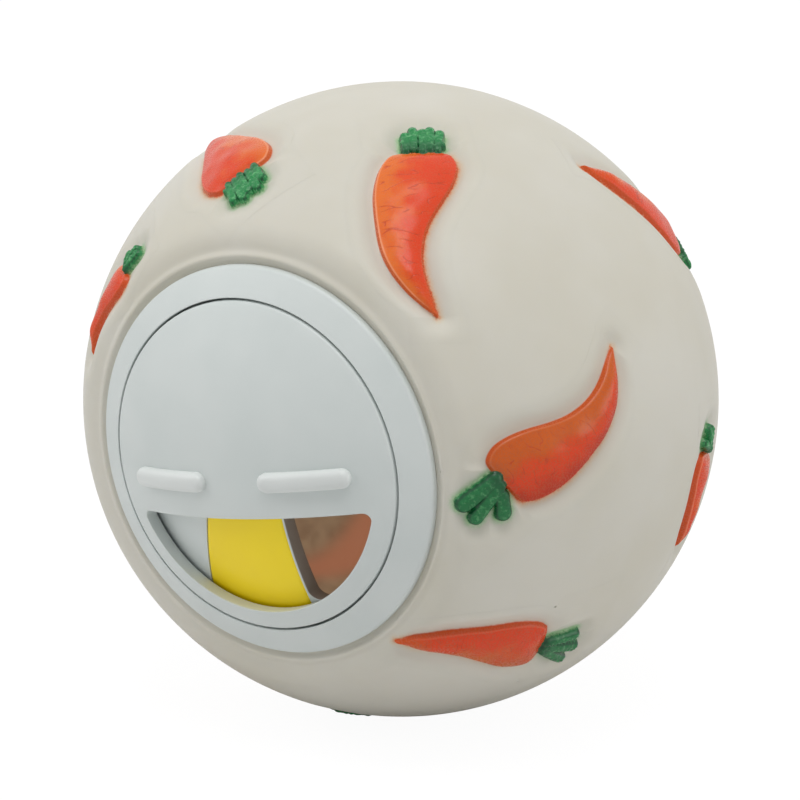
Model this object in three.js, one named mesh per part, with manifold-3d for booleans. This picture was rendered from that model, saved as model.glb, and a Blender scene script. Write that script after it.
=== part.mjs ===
// Treat dispensing ball for small pets: a soft hollow ball with carrots moulded in hollows of its
// skin, and a pressed-in
// insert whose domed door turns in its ring to open or close a half-moon treat outlet.
// Millimetres. +Z is up, the mouth faces -Y, and the ball lies on the plane Z = 0.
import * as THREE from 'three';
import { mergeVertices } from 'three/addons/utils/BufferGeometryUtils.js';
import Module from 'manifold-3d';

const wasm = await Module();
wasm.setup();

// Soft ball
const BALL_RADIUS = 35.2;
const BALL_WALL = 2.2;
const SEAT_MARGIN = 3.28; // the flat seat would meet the round of the ball this far outside the ring
const SEAT_ROUNDING = 4;
const COLLAR_DEPTH = 4.3; // the mouth's edge is turned in this far and grips the insert's neck
const COLLAR_WALL = 2.2;
const COLLAR_ROUNDING = 0.5;
const GROOVE_RADIUS = 0.8;

// Ring
const FACE_RADIUS = 38.5; // the ring and the door share one domed face
const FLANGE_WIDTH = 3.15;
const FLANGE_EDGE = 0.8;
const SEAT_GAP = 0.05;
const SHOULDER = 0.5; // the plate bears on a step this wide behind the ring's bore
const NECK_WALL = 1.0;
const NECK_GRIP = 0.1; // between the neck and the collar
const NECK_TAIL = 2.0; // the neck runs on this far behind the collar
const BARB_HEIGHT = 0.9;
const BARB_LENGTH = 1.4;
const BARB_LAND = 0.4;
const NECK_SLOTS = 6;
const NECK_SLOT_WIDTH = 1.6;
const NECK_SLOT_DEPTH = 3.2;
const BEAD_HEIGHT = 0.3; // the bead that holds the plate in the neck
const BEAD_LENGTH = 0.7;

// Door
const DOOR_RADIUS = 18.25;
const DOOR_GAP = 0.25;
const DOOR_THICKNESS = 1.6;
const DOOR_TURN = 10.4; // its place here: the window's chord leans this far from level, degrees
const WINDOW_BORDER = 2.15; // from the window's arc to the door's edge
const WINDOW_LAP = 0.5; // the window's chord lies this much further out than the outlet's
const WINDOW_CORNER = 1.2;
const RIB_START = 3.6;
const RIB_BORDER = 3.85;
const RIB_WIDTH = 2.4;
const RIB_HEIGHT = 1.1;
const POST_RADIUS = 3.0;
const POST_BORE = 1.8;
const POST_CLEARANCE = 0.1;
const POST_HOOK = 0.35;
const POST_TIP = 1.6;
const POST_SLIT = 0.8;

// Fixed plate and the yellow inlay that shows beside the outlet
const PLATE_GAP = 0.35; // between the door's back and the plate's front
const PLATE_THICKNESS = 1.8;
const PLATE_PLAY = 0.1;
const RIM_WIDTH = 1.0;
const RIM_THICKNESS = 2.0;
const HUB_WALL = 1.1;
const HUB_LENGTH = 1.5; // how far the hub stands behind the plate
const OUTLET_MARGIN = 0.1; // from the hub's wall to the outlet's chord
const OUTLET_BORDER = 2.7;
const OUTLET_CORNER = 1.2;
const OUTLET_TURN = 99.35; // a quarter turn round from the window, degrees
const KEYS = 4;
const KEY_ANGLE = -128.7; // the first key's place, degrees round from +X
const KEY_WIDTH = 1.5;
const KEY_HEIGHT = 0.7;
const KEY_CLEARANCE = 0.2;
const NOTCH_DEPTH = 1.8;
const INLAY_CHORD = 4.0; // far edge of the yellow inlay from the axis
const INLAY_LEAN = 10.2; // that edge leans this far from upright, degrees
const INLAY_BORDER = 1.7;
const INLAY_MARGIN = 0.3; // from the inlay to the outlet and to the post's bore
const INLAY_THICKNESS = 0.4;
const INLAY_PLAY = 0.05;

// Moulded carrots: each lies with its leaves in a hollow of the ball's skin and rises from its
// bottom to just over the skin. Its half widths from crown to tip are shares of its greatest.
const HOLLOW_DEPTH = 0.9;
const HOLLOW_MARGIN = 0.45; // from the carrot's edge to the hollow's wall
const CARROT_HEIGHT = 1.15; // over the hollow's bottom
const CARROT_ROOT = 0.5; // how deep the carrots and leaves run into the wall under the hollow
const CARROT_TAPER = [0.72, 1.0, 0.9, 0.66, 0.48, 0.15];
const LEAF_TAPER = [0.9, 0.7];
const LEAF_LENGTH = 4.2;
const LEAF_WIDTH = 2.6;
const LEAF_HEIGHT = 1.1;
const LEAF_FAN = [-34, 0, 34];
const LEAF_SPREAD = 1.5;
const FULL_HALF_WIDTH = 4.4; // the leaf sizes above belong to a carrot of this half width

// Each carrot: longitude from the mouth and latitude of its middle, heading of its tip from east,
// degrees, then its length, sideways bow and half width. The last eight lie on the hidden side.
const CARROTS = [
  [42.3, 49.1, -91, 20.5, 2.6, 4.4],
  [65.2, 12.7, 39, 20.0, 3.2, 4.3],
  [50.2, -33.2, 171, 16.5, 0.8, 3.7],
  [-51.1, 55.4, -164, 20.0, 2.4, 4.2],
  [-41.4, 18.6, -82, 14.5, 1.0, 3.3],
  [116.5, 42.5, 121, 17.0, 1.4, 3.6],
  [104.6, -14.5, -99, 14.5, 1.0, 3.3],
  [74.2, -76.0, 18, 17.0, 1.4, 3.7],
  [-47.9, -50.7, -72, 17.0, 1.4, 3.7],
  [-165.0, 62.0, 19, 18.0, 1.4, 3.9],
  [166.0, 15.0, -60, 20.0, 3.0, 4.4],
  [-112.0, 29.0, -110, 20.0, 3.0, 4.4],
  [-91.0, -17.0, 60, 18.0, 1.4, 3.9],
  [-149.0, -6.0, 95, 18.0, 1.4, 3.9],
  [155.0, -34.0, 170, 20.0, 3.0, 4.4],
  [-128.0, -48.0, -20, 18.0, 1.4, 3.9],
];

// Sections of the raised forms: shares of the half width and of the height, from foot to foot
const HOLLOW_SECTION = [[-1, 0], [-1, 1], [1, 1], [1, 0]];
const CARROT_SECTION = [[-1, -1], [-1, 0.25], [-0.55, 0.92], [0.55, 0.92], [1, 0.25], [1, -1]];
const LEAF_SECTION = [[-1, -1], [-0.65, 1], [0.65, 1], [1, -1]];
const RIB_SECTION = [[-1, -1], [-1, 0.1], [-0.72, 0.75], [0, 1], [0.72, 0.75], [1, 0.1], [1, -1]];

const BALL_FACETS = 36;
const SLIVER = 0.03; // smaller steps than this on the ball are left out
const INSERT_FACETS = 48;
const POST_FACETS = 24;
const OUTLINE_DIVISIONS = 6;

const { degToRad, radToDeg } = THREE.MathUtils;

// Sizes that follow from the driving ones. Heights lie on the mouth axis, from the ball's centre.
const ringBore = DOOR_RADIUS + DOOR_GAP;
const ringRadius = ringBore + FLANGE_WIDTH;
const seat = Math.sqrt(BALL_RADIUS ** 2 - (ringRadius + SEAT_MARGIN) ** 2);
const flangeBack = seat + SEAT_GAP;
const faceCentre = flangeBack + FLANGE_EDGE - Math.sqrt(FACE_RADIUS ** 2 - ringRadius ** 2);
const doorBack = FACE_RADIUS - DOOR_THICKNESS;
const plateFace = doorBack - PLATE_GAP;
const plateBack = plateFace - PLATE_THICKNESS;
const shoulder = domeHeight(plateFace, ringBore);
const neckBore = ringBore + SHOULDER;
const neckRadius = neckBore + NECK_WALL;
const collarBore = neckRadius + NECK_GRIP;
const collarBack = seat - COLLAR_DEPTH;
const neckEnd = collarBack - NECK_TAIL;
const plateRadius = neckBore - PLATE_PLAY;
const rimFront = shoulder - PLATE_PLAY;
const rimBack = rimFront - RIM_THICKNESS;
const postBore = POST_RADIUS + POST_CLEARANCE;
const hubRadius = postBore + HUB_WALL;
const hubFront = domeHeight(plateFace, 0) - PLATE_THICKNESS / 2;
const hubBack = domeHeight(plateBack, 0) - HUB_LENGTH;
const outletChord = hubRadius + OUTLET_MARGIN;
const faceTop = domeHeight(FACE_RADIUS, 0);
const inlayRadius = plateRadius - INLAY_BORDER;

// Height of a dome about the shared face's centre, at a distance from the axis
function domeHeight(radius, distance) {
  return faceCentre + Math.sqrt(radius ** 2 - distance ** 2);
}

// The angle at which a dome of this radius reaches a distance from the axis
function domeAngle(radius, distance) {
  return radToDeg(Math.asin(distance / radius));
}

// Points of an arc in a profile of [distance from the axis, height], in a number of equal steps.
// Angles are measured from the front, in degrees.
function arc(centreDistance, centreHeight, radius, from, to, steps) {
  return Array.from({ length: steps + 1 }, (_, i) => {
    const angle = degToRad(from + ((to - from) * i) / steps);
    return [centreDistance + radius * Math.sin(angle), centreHeight + radius * Math.cos(angle)];
  });
}

// Revolves a profile about the mouth axis
function revolve(profile, facets, closed = false) {
  const points = profile.map(([distance, height]) => new THREE.Vector2(Math.max(distance, 0), -height));
  if (closed) points.push(points[0].clone());
  return solid(new THREE.LatheGeometry(points, facets));
}

// Makes a closed geometry into a solid, with its faces turned outwards
function solid(geometry) {
  const bare = geometry.clone();
  bare.deleteAttribute('normal');
  bare.deleteAttribute('uv');
  const { index, attributes } = mergeVertices(bare, 1e-5);
  const triangles = [];
  for (let i = 0; i < index.count; i += 3) {
    const [a, b, c] = [index.getX(i), index.getX(i + 1), index.getX(i + 2)];
    if (a !== b && b !== c && c !== a) triangles.push([a, b, c]);
  }
  const corner = (i) => new THREE.Vector3().fromBufferAttribute(attributes.position, i);
  const volume = triangles.reduce(
    (sum, [a, b, c]) => sum + corner(a).dot(corner(b).cross(corner(c))), 0);
  if (volume < 0) triangles.forEach((triangle) => triangle.reverse());
  return new wasm.Manifold(new wasm.Mesh({
    numProp: 3,
    vertProperties: new Float32Array(attributes.position.array),
    triVerts: new Uint32Array(triangles.flat()),
  }));
}

// Makes a named mesh of a solid
function piece(name, body, color, roughness) {
  const { vertProperties, triVerts } = body.getMesh();
  const geometry = new THREE.BufferGeometry();
  geometry.setAttribute('position', new THREE.BufferAttribute(vertProperties, 3));
  geometry.setIndex(new THREE.BufferAttribute(triVerts, 1));
  geometry.computeVertexNormals();
  const material = new THREE.MeshStandardMaterial({ color, roughness, metalness: 0 });
  const mesh = new THREE.Mesh(geometry, material);
  mesh.name = name;
  return mesh;
}

// Extrudes an outline, drawn as seen from the front, through the whole insert
function prism(outline, turn) {
  const settings = { depth: FACE_RADIUS, bevelEnabled: false, curveSegments: OUTLINE_DIVISIONS };
  const geometry = new THREE.ExtrudeGeometry(outline, settings);
  geometry.rotateZ(degToRad(turn));
  geometry.rotateX(Math.PI / 2);
  return solid(geometry);
}

// Half-moon below the axis, with rounded corners where its chord meets its arc
function halfMoon(chord, radius, corner) {
  const middle = Math.sqrt((radius - corner) ** 2 - (chord + corner) ** 2);
  const lean = Math.atan2(middle, chord + corner);
  const outline = new THREE.Shape();
  outline.moveTo(-middle, -chord);
  outline.lineTo(middle, -chord);
  outline.absarc(middle, -chord - corner, corner, Math.PI / 2, lean - Math.PI / 2, true);
  outline.absarc(0, 0, radius, lean - Math.PI / 2, -lean - Math.PI / 2, true);
  outline.absarc(-middle, -chord - corner, corner, -lean - Math.PI / 2, -1.5 * Math.PI, true);
  return outline;
}

// A block that lies across the mouth axis, at an angle round from +X
function radialBlock(angle, inner, outer, width, back, front) {
  const block = new THREE.BoxGeometry(outer - inner, front - back, width);
  block.translate((inner + outer) / 2, -(front + back) / 2, 0);
  block.rotateY(-degToRad(angle));
  return solid(block);
}

// Blocks spaced evenly round the mouth axis
function radialBlocks(count, firstAngle, ...sizes) {
  return Array.from({ length: count }, (_, i) => radialBlock(firstAngle + (360 * i) / count, ...sizes));
}

// A dome-shaped sheet between two radii of the face's centre, out to a distance from the axis
function domeSheet(front, back, distance) {
  return revolve([
    ...arc(0, faceCentre, front, 0, domeAngle(front, distance), 4),
    ...arc(0, faceCentre, back, domeAngle(back, distance), 0, 4),
  ], INSERT_FACETS);
}

// A place on a sphere: the direction of its middle, of its heading and of the heading's left
function spherePlace(longitude, latitude, heading) {
  const [lon, lat, turn] = [longitude, latitude, heading].map(degToRad);
  const middle = new THREE.Vector3(
    Math.sin(lon) * Math.cos(lat), -Math.cos(lon) * Math.cos(lat), Math.sin(lat));
  const east = new THREE.Vector3(Math.cos(lon), Math.sin(lon), 0);
  const north = new THREE.Vector3().crossVectors(middle, east);
  const ahead = east.multiplyScalar(Math.cos(turn)).addScaledVector(north, Math.sin(turn));
  return { middle, ahead, left: new THREE.Vector3().crossVectors(middle, ahead) };
}

// A point at distances along and left of a place, measured on its sphere, and at a height over it
function overSphere({ middle, ahead, left }, radius, along, across, height) {
  const distance = Math.hypot(along, across);
  const angle = distance / radius;
  const scale = distance > 0 ? Math.sin(angle) / distance : 0;
  return middle.clone().multiplyScalar(Math.cos(angle))
    .addScaledVector(ahead, along * scale)
    .addScaledVector(left, across * scale)
    .multiplyScalar(radius + height);
}

// Lofts a form on a sphere through stations of [along, across, half width, height]. Heights start
// from the sphere, and the form's feet run into it as deep as the root says.
function raisedForm(place, radius, stations, section, root) {
  const positions = [];
  stations.forEach(([along, across, halfWidth, height], i) => {
    const before = stations[Math.max(i - 1, 0)];
    const after = stations[Math.min(i + 1, stations.length - 1)];
    const run = Math.hypot(after[0] - before[0], after[1] - before[1]);
    const [sideAlong, sideAcross] = [(before[1] - after[1]) / run, (after[0] - before[0]) / run];
    for (const [widthShare, heightShare] of section) {
      const offset = widthShare * halfWidth;
      const lift = heightShare < 0 ? -root : height * heightShare;
      const point = overSphere(
        place, radius, along + sideAlong * offset, across + sideAcross * offset, lift);
      positions.push(...point.toArray());
    }
  });
  const points = section.length;
  const last = (stations.length - 1) * points;
  const index = [];
  for (let ring = 0; ring < last; ring += points) {
    for (let k = 0; k < points; k++) {
      const [a, b] = [ring + k, ring + ((k + 1) % points)];
      index.push(a, b, a + points, b, b + points, a + points);
    }
  }
  for (let k = 1; k < points - 1; k++) {
    index.push(0, k + 1, k, last, last + k, last + k + 1);
  }
  const geometry = new THREE.BufferGeometry();
  geometry.setAttribute('position', new THREE.Float32BufferAttribute(positions, 3));
  geometry.setIndex(index);
  return solid(geometry);
}

// One moulded carrot: a bowed, tapering root and a tuft of three leaves behind its crown
function carrot([longitude, latitude, heading, length, bow, halfWidth]) {
  const place = spherePlace(longitude, latitude, heading);
  const bottom = BALL_RADIUS - HOLLOW_DEPTH;
  const root = taperStations(length, bow, halfWidth)
    .map(([along, across, width]) => [along, across, width,
      CARROT_HEIGHT * (0.5 + (0.5 * width) / halfWidth)]);
  const scale = halfWidth / FULL_HALF_WIDTH;
  const leaves = LEAF_FAN.map(degToRad).map((lean) => LEAF_TAPER.map((width, i) => {
    const out = (i / (LEAF_TAPER.length - 1)) * LEAF_LENGTH * scale - CARROT_HEIGHT / 2;
    const along = -length / 2 - out * Math.cos(lean);
    const across = (out + LEAF_SPREAD * scale) * Math.sin(lean);
    return [along, across, (LEAF_WIDTH / 2) * scale * width, LEAF_HEIGHT * (0.6 + 0.4 * width)];
  }));
  return [
    raisedForm(place, bottom, root, CARROT_SECTION, CARROT_ROOT),
    ...leaves.map((leaf) => raisedForm(place, bottom, leaf, LEAF_SECTION, CARROT_ROOT)),
  ];
}

// Places and half widths along a carrot: its centreline bows to the side past its middle
function taperStations(length, bow, halfWidth) {
  return CARROT_TAPER.map((width, i) => {
    const share = i / (CARROT_TAPER.length - 1);
    return [(share - 0.5) * length, -bow * Math.sin(Math.PI * share ** 1.15), halfWidth * width];
  });
}

// The hollow round one carrot and its leaves, up through the ball's skin
function hollow([longitude, latitude, heading, length, bow, halfWidth]) {
  const scale = halfWidth / FULL_HALF_WIDTH;
  const leafEnd = -length / 2 - LEAF_LENGTH * scale;
  const leafHalf = (LEAF_SPREAD + LEAF_WIDTH) * scale;
  const body = taperStations(length, bow, halfWidth).slice(1, -1);
  const outline = [
    [leafEnd - HOLLOW_MARGIN / 2, 0, leafHalf / 2],
    [leafEnd + LEAF_WIDTH / 3, 0, leafHalf],
    ...body,
    [length / 2 + HOLLOW_MARGIN, 0, 0],
  ].map(([along, across, width]) => [along, across, width + HOLLOW_MARGIN, 2 * HOLLOW_DEPTH]);
  return raisedForm(spherePlace(longitude, latitude, heading), BALL_RADIUS - HOLLOW_DEPTH, outline,
    HOLLOW_SECTION, 0);
}

// The soft ball: a sphere with a flat seat, a turned-in collar, and carrots moulded in hollows
function vinylShell() {
  const inner = BALL_RADIUS - BALL_WALL;
  const roundingHeight = seat - SEAT_ROUNDING;
  const roundingDistance = Math.sqrt((BALL_RADIUS - SEAT_ROUNDING) ** 2 - roundingHeight ** 2);
  const outerEnd = radToDeg(Math.atan2(roundingDistance, roundingHeight));
  const collarRadius = collarBore + COLLAR_WALL;
  const grooveDistance = collarRadius + GROOVE_RADIUS;
  const grooveHeight = Math.sqrt((inner - GROOVE_RADIUS) ** 2 - grooveDistance ** 2);
  const innerEnd = radToDeg(Math.atan2(grooveDistance, grooveHeight));
  const lip = COLLAR_ROUNDING;
  const body = revolve([
    ...arc(0, 0, BALL_RADIUS, 180, outerEnd, 14),
    ...arc(roundingDistance, roundingHeight, SEAT_ROUNDING, outerEnd, 0, 3).slice(1),
    ...arc(collarBore + lip, seat - lip, lip, 0, -90, 2),
    ...arc(collarBore + lip, collarBack + lip, lip, -90, -180, 2),
    ...arc(collarRadius - lip, collarBack + lip, lip, 180, 90, 2),
    ...arc(grooveDistance, grooveHeight, GROOVE_RADIUS, -90, innerEnd, 3),
    ...arc(0, 0, inner, innerEnd, 180, 9).slice(1),
  ], BALL_FACETS);
  const carved = body.subtract(wasm.Manifold.union(CARROTS.map(hollow)));
  return wasm.Manifold.union([carved, ...CARROTS.flatMap(carrot)]).simplify(SLIVER);
}

// The ring: domed flange, bore for the door, step, bead and keys for the plate, slotted snap neck
function bezelRing() {
  const barb = collarBack - NECK_GRIP;
  const body = revolve([
    ...arc(0, faceCentre, FACE_RADIUS,
      domeAngle(FACE_RADIUS, ringBore), domeAngle(FACE_RADIUS, ringRadius), 2),
    [ringRadius, flangeBack],
    [neckRadius, flangeBack],
    [neckRadius, barb],
    [neckRadius + BARB_HEIGHT, barb],
    [neckRadius + BARB_HEIGHT, barb - BARB_LAND],
    [neckRadius, barb - BARB_LENGTH],
    [neckRadius, neckEnd],
    [neckBore, neckEnd],
    [neckBore, rimBack - PLATE_PLAY - BEAD_LENGTH],
    [neckBore - BEAD_HEIGHT, rimBack - PLATE_PLAY - BEAD_LENGTH / 2],
    [neckBore, rimBack - PLATE_PLAY],
    [neckBore, shoulder],
    [ringBore, shoulder],
  ], INSERT_FACETS, true);
  const keys = radialBlocks(KEYS, KEY_ANGLE,
    neckBore - KEY_HEIGHT, neckBore + NECK_WALL / 2, KEY_WIDTH, rimBack, shoulder + PLATE_PLAY);
  const slots = radialBlocks(NECK_SLOTS, 180 / NECK_SLOTS,
    neckBore / 2, ringRadius, NECK_SLOT_WIDTH, 0, neckEnd + NECK_SLOT_DEPTH);
  return wasm.Manifold.union([body, ...keys]).subtract(wasm.Manifold.union(slots));
}

// Part of a domed sheet between the inlay's leaning edge and the outlet, grown by a play
function inlaySheet(front, back, play) {
  const [left, right] = [INLAY_LEAN, OUTLET_TURN - 90].map(degToRad);
  const top = play - postBore - INLAY_MARGIN;
  const bottom = -2 * inlayRadius;
  const leftEdge = (height) =>
    -(INLAY_CHORD + play) / Math.cos(left) + height * Math.tan(left);
  const rightEdge = (height) =>
    (outletChord - INLAY_MARGIN + play) / Math.cos(right) - height * Math.tan(right);
  const outline = new THREE.Shape();
  outline.moveTo(leftEdge(top), top);
  outline.lineTo(leftEdge(bottom), bottom);
  outline.lineTo(rightEdge(bottom), bottom);
  outline.lineTo(rightEdge(top), top);
  return prism(outline, 0).intersect(domeSheet(front, back, inlayRadius + play));
}

// The fixed plate behind the door: outlet, hub for the door's post, rim, notches, inlay's recess
function fixedPlate() {
  const rimInner = plateRadius - RIM_WIDTH;
  const body = revolve([
    ...arc(0, faceCentre, plateFace, 0, domeAngle(plateFace, rimInner), 4),
    [rimInner, rimFront],
    [plateRadius, rimFront],
    [plateRadius, rimBack],
    [rimInner, rimBack],
    ...arc(0, faceCentre, plateBack, domeAngle(plateBack, rimInner), 0, 4),
  ], INSERT_FACETS);
  const hub = revolve([[0, hubFront], [hubRadius, hubFront], [hubRadius, hubBack], [0, hubBack]],
    POST_FACETS);
  const bore = revolve([[0, faceTop], [postBore, faceTop], [postBore, 0], [0, 0]], POST_FACETS);
  const outlet = prism(halfMoon(outletChord, plateRadius - OUTLET_BORDER, OUTLET_CORNER), OUTLET_TURN);
  const recess = inlaySheet(FACE_RADIUS, plateFace - INLAY_THICKNESS - INLAY_PLAY, INLAY_PLAY);
  const notches = radialBlocks(KEYS, KEY_ANGLE, plateRadius - NOTCH_DEPTH, ringRadius,
    KEY_WIDTH + 2 * KEY_CLEARANCE, 0, faceTop);
  return body.add(hub).subtract(wasm.Manifold.union([bore, outlet, recess, ...notches]));
}

// A finger rib: a bar with round ends, from near the door's centre towards its edge
function fingerRib(turn) {
  const half = RIB_WIDTH / 2;
  const [inner, outer] = [RIB_START + half, DOOR_RADIUS - RIB_BORDER - half];
  const rounding = [12, 38, 65, 90].map(degToRad);
  const stations = [
    ...rounding.map((angle) => [inner - half * Math.cos(angle), Math.sin(angle)]),
    [(inner + outer) / 2, 1],
    ...rounding.toReversed().map((angle) => [outer + half * Math.cos(angle), Math.sin(angle)]),
  ].map(([along, share]) => [along, 0, half * share, RIB_HEIGHT * (0.5 + 0.5 * share)]);
  return raisedForm(spherePlace(0, 0, turn), FACE_RADIUS, stations, RIB_SECTION, DOOR_THICKNESS / 2)
    .translate([0, -faceCentre, 0]);
}

// The turning door: domed disc, half-moon window, two finger ribs and the split snap post
function door() {
  const disc = domeSheet(FACE_RADIUS, doorBack, DOOR_RADIUS);
  const postFront = domeHeight(FACE_RADIUS, 0) - DOOR_THICKNESS / 2;
  const hook = hubBack - PLATE_PLAY;
  const post = revolve([
    [POST_BORE, postFront],
    [POST_RADIUS, postFront],
    [POST_RADIUS, hook],
    [POST_RADIUS + POST_HOOK, hook],
    [POST_RADIUS - POST_HOOK, hook - POST_TIP],
    [POST_BORE, hook - POST_TIP],
  ], POST_FACETS, true);
  const window = prism(
    halfMoon(outletChord + WINDOW_LAP, DOOR_RADIUS - WINDOW_BORDER, WINDOW_CORNER), DOOR_TURN);
  const slits = [DOOR_TURN, DOOR_TURN + 90].map((turn) => radialBlock(
    turn, -POST_RADIUS - POST_HOOK, POST_RADIUS + POST_HOOK, POST_SLIT, 0, hubFront));
  const ribs = [DOOR_TURN, DOOR_TURN + 180].map(fingerRib);
  return wasm.Manifold.union([disc, post, ...ribs])
    .subtract(wasm.Manifold.union([window, ...slits]));
}

const VINYL = 0xcdcabe;
const SATIN_GREY = 0xbec8cb;
const YELLOW = 0xdec428;

const shell = piece('vinyl_shell', vinylShell(), VINYL, 0.6);
const insert = new THREE.Group();
insert.add(
  piece('bezel_ring', bezelRing(), SATIN_GREY, 0.5),
  piece('fixed_plate', fixedPlate(), SATIN_GREY, 0.5),
  piece('indicator_inlay', inlaySheet(plateFace, plateFace - INLAY_THICKNESS, 0), YELLOW, 0.45),
  piece('door', door(), SATIN_GREY, 0.5),
);

// The ball lies on the ground with its lowest point
shell.geometry.computeBoundingBox();
const treatBall = new THREE.Group();
treatBall.add(shell, insert);
treatBall.position.z = -shell.geometry.boundingBox.min.z;

export default treatBall;
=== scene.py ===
"""Looks of a treat dispensing ball: soft vinyl with moulded, painted carrots and a turning grey insert."""

import logging
import math
from collections.abc import Sequence
from dataclasses import dataclass
from enum import Enum

import bpy
import numpy as np
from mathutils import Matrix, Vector
from mathutils.geometry import delaunay_2d_cdt
from numpy.typing import NDArray


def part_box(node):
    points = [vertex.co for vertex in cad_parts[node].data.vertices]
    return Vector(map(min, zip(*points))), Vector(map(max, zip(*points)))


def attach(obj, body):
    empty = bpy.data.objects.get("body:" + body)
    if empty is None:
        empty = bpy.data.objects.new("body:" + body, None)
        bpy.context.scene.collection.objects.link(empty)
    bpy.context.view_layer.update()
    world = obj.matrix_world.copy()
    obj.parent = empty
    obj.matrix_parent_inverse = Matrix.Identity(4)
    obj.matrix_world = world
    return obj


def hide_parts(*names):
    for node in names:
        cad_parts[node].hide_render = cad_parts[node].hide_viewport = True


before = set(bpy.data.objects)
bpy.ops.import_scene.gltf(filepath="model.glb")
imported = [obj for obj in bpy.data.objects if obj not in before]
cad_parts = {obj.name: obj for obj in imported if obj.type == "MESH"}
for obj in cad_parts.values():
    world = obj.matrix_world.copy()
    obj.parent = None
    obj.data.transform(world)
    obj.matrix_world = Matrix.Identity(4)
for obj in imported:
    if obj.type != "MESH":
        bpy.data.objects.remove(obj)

Array = NDArray[np.float64]
Colour = tuple[float, float, float, float]
Block = tuple[Array, list[Array]]
Span = tuple[float, float]

LOG = logging.getLogger("treat_ball")
MM = 0.001
WHITE: Colour = (1.0, 1.0, 1.0, 1.0)
BLACK: Colour = (0.0, 0.0, 0.0, 1.0)


class Body(Enum):
    """The two bodies that the pieces ride on."""

    BALL = "ball"
    DOOR = "turning_door"


class Slot(Enum):
    """The record's material slots."""

    VINYL = "soft_vinyl"
    GREY = "insert_grey"
    YELLOW = "inlay_yellow"


def srgb(red: int, green: int, blue: int) -> Colour:
    """Gives a display colour as a linear one.

    Args:
        red: Red from 0 to 255.
        green: Green from 0 to 255.
        blue: Blue from 0 to 255.

    Returns:
        Linear red, green and blue, and an alpha of 1.
    """
    shares = np.array([red, green, blue]) / 255
    linear = np.where(shares <= 0.04045, shares / 12.92, ((shares + 0.055) / 1.055) ** 2.4)
    return (*linear.tolist(), 1.0)


def smooth(low: float, high: float, values: Array) -> Array:
    """Rises smoothly from 0 at low to 1 at high: 3 x squared less 2 x cubed.

    Args:
        low: Where the rise starts.
        high: Where it ends. It may lie below low, and then the curve falls.
        values: Where the curve is read.

    Returns:
        The curve's values.
    """
    share = np.clip((values - low) / (high - low), 0, 1)
    return share * share * (3 - 2 * share)


def bell(values: Array, width: float) -> Array:
    """A bell curve of height 1: e to the power of minus the square of values over width."""
    return np.exp(-((values / width) ** 2))


def grid(rows: int, columns: int, wrap_rows: bool = False, wrap_columns: bool = False) -> Array:
    """Gives the quads of a grid whose vertices are numbered row by row.

    Args:
        rows: Number of rows.
        columns: Number of vertices in a row.
        wrap_rows: Whether the last row joins the first.
        wrap_columns: Whether each row closes on itself.

    Returns:
        Four vertex numbers a quad.
    """
    row, column = np.meshgrid(
        np.arange(rows if wrap_rows else rows - 1),
        np.arange(columns if wrap_columns else columns - 1),
        indexing="ij",
    )
    below, beside = (row + 1) % rows, (column + 1) % columns
    corners = [(row, column), (row, beside), (below, beside), (below, column)]
    return np.stack([r * columns + c for r, c in corners], axis=-1).reshape(-1, 4)


def around(distance: Array, angle: Array, height: Array) -> Array:
    """Places points by their distance from the mouth's axis, angle round it and height along it.

    Args:
        distance: Distance from the axis, millimetres.
        angle: Angle round the axis from +X towards +Z, radians.
        height: Height along the axis from the ball's centre towards the mouth, millimetres.

    Returns:
        Points: x is distance times cosine, y is minus the height, z is distance times sine.
    """
    distance, angle, height = np.broadcast_arrays(distance, angle, height)
    return np.stack([distance * np.cos(angle), -height, distance * np.sin(angle)], axis=-1)


def directions(steps: int) -> tuple[Array, Array]:
    """Gives angles evenly round a circle, in radians, and the points of a unit circle there."""
    angles = np.linspace(0, 2 * np.pi, steps, endpoint=False)
    return angles, np.stack([np.cos(angles), np.sin(angles)], axis=-1)


def arc(centre: Span, radius: float, start: float, end: float, steps: int) -> Array:
    """Gives points of a profile's arc, with angles measured from the front.

    Args:
        centre: Distance from the axis and height of the arc's centre.
        radius: The arc's radius.
        start: First angle, degrees.
        end: Last angle, degrees.
        steps: Number of equal steps.

    Returns:
        Rows of distance and height: the centre plus the radius times sine and cosine.
    """
    angle = np.radians(np.linspace(start, end, steps + 1))
    return np.stack([centre[0] + radius * np.sin(angle), centre[1] + radius * np.cos(angle)], axis=-1)


def rounded(corners: Sequence[tuple[float, float, float]], steps: int = 6) -> Array:
    """Rounds the corners of a closed outline.

    Each corner becomes a quadratic curve: it starts and ends at the corner's reach along its two
    sides, and is drawn towards the corner.

    Args:
        corners: First coordinate, second coordinate and reach of each corner.
        steps: Steps of each curve. A corner without reach stays one point.

    Returns:
        The outline's points.
    """
    spots = np.array([corner[:2] for corner in corners], float)
    curves = []
    for number, (_, _, reach) in enumerate(corners):
        here = spots[number]
        if reach <= 0:
            curves.append(here[None])
            continue
        sides = [spots[number - 1] - here, spots[(number + 1) % len(corners)] - here]
        start, end = (here + side / np.linalg.norm(side) * reach for side in sides)
        share = np.linspace(0, 1, steps + 1)[:, None]
        curves.append((1 - share) ** 2 * start + 2 * share * (1 - share) * here + share**2 * end)
    return np.concatenate(curves)


def outward(outline: Array) -> Array:
    """Gives the unit normals of a closed outline, pointing out of it.

    Args:
        outline: The outline's points, anticlockwise.

    Returns:
        A normal for each point: the line between its neighbours, turned by a quarter turn.
    """
    tangent = np.roll(outline, -1, axis=0) - np.roll(outline, 1, axis=0)
    normal = np.stack([tangent[:, 1], -tangent[:, 0]], axis=-1)
    return normal / np.linalg.norm(normal, axis=1, keepdims=True)


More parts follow.
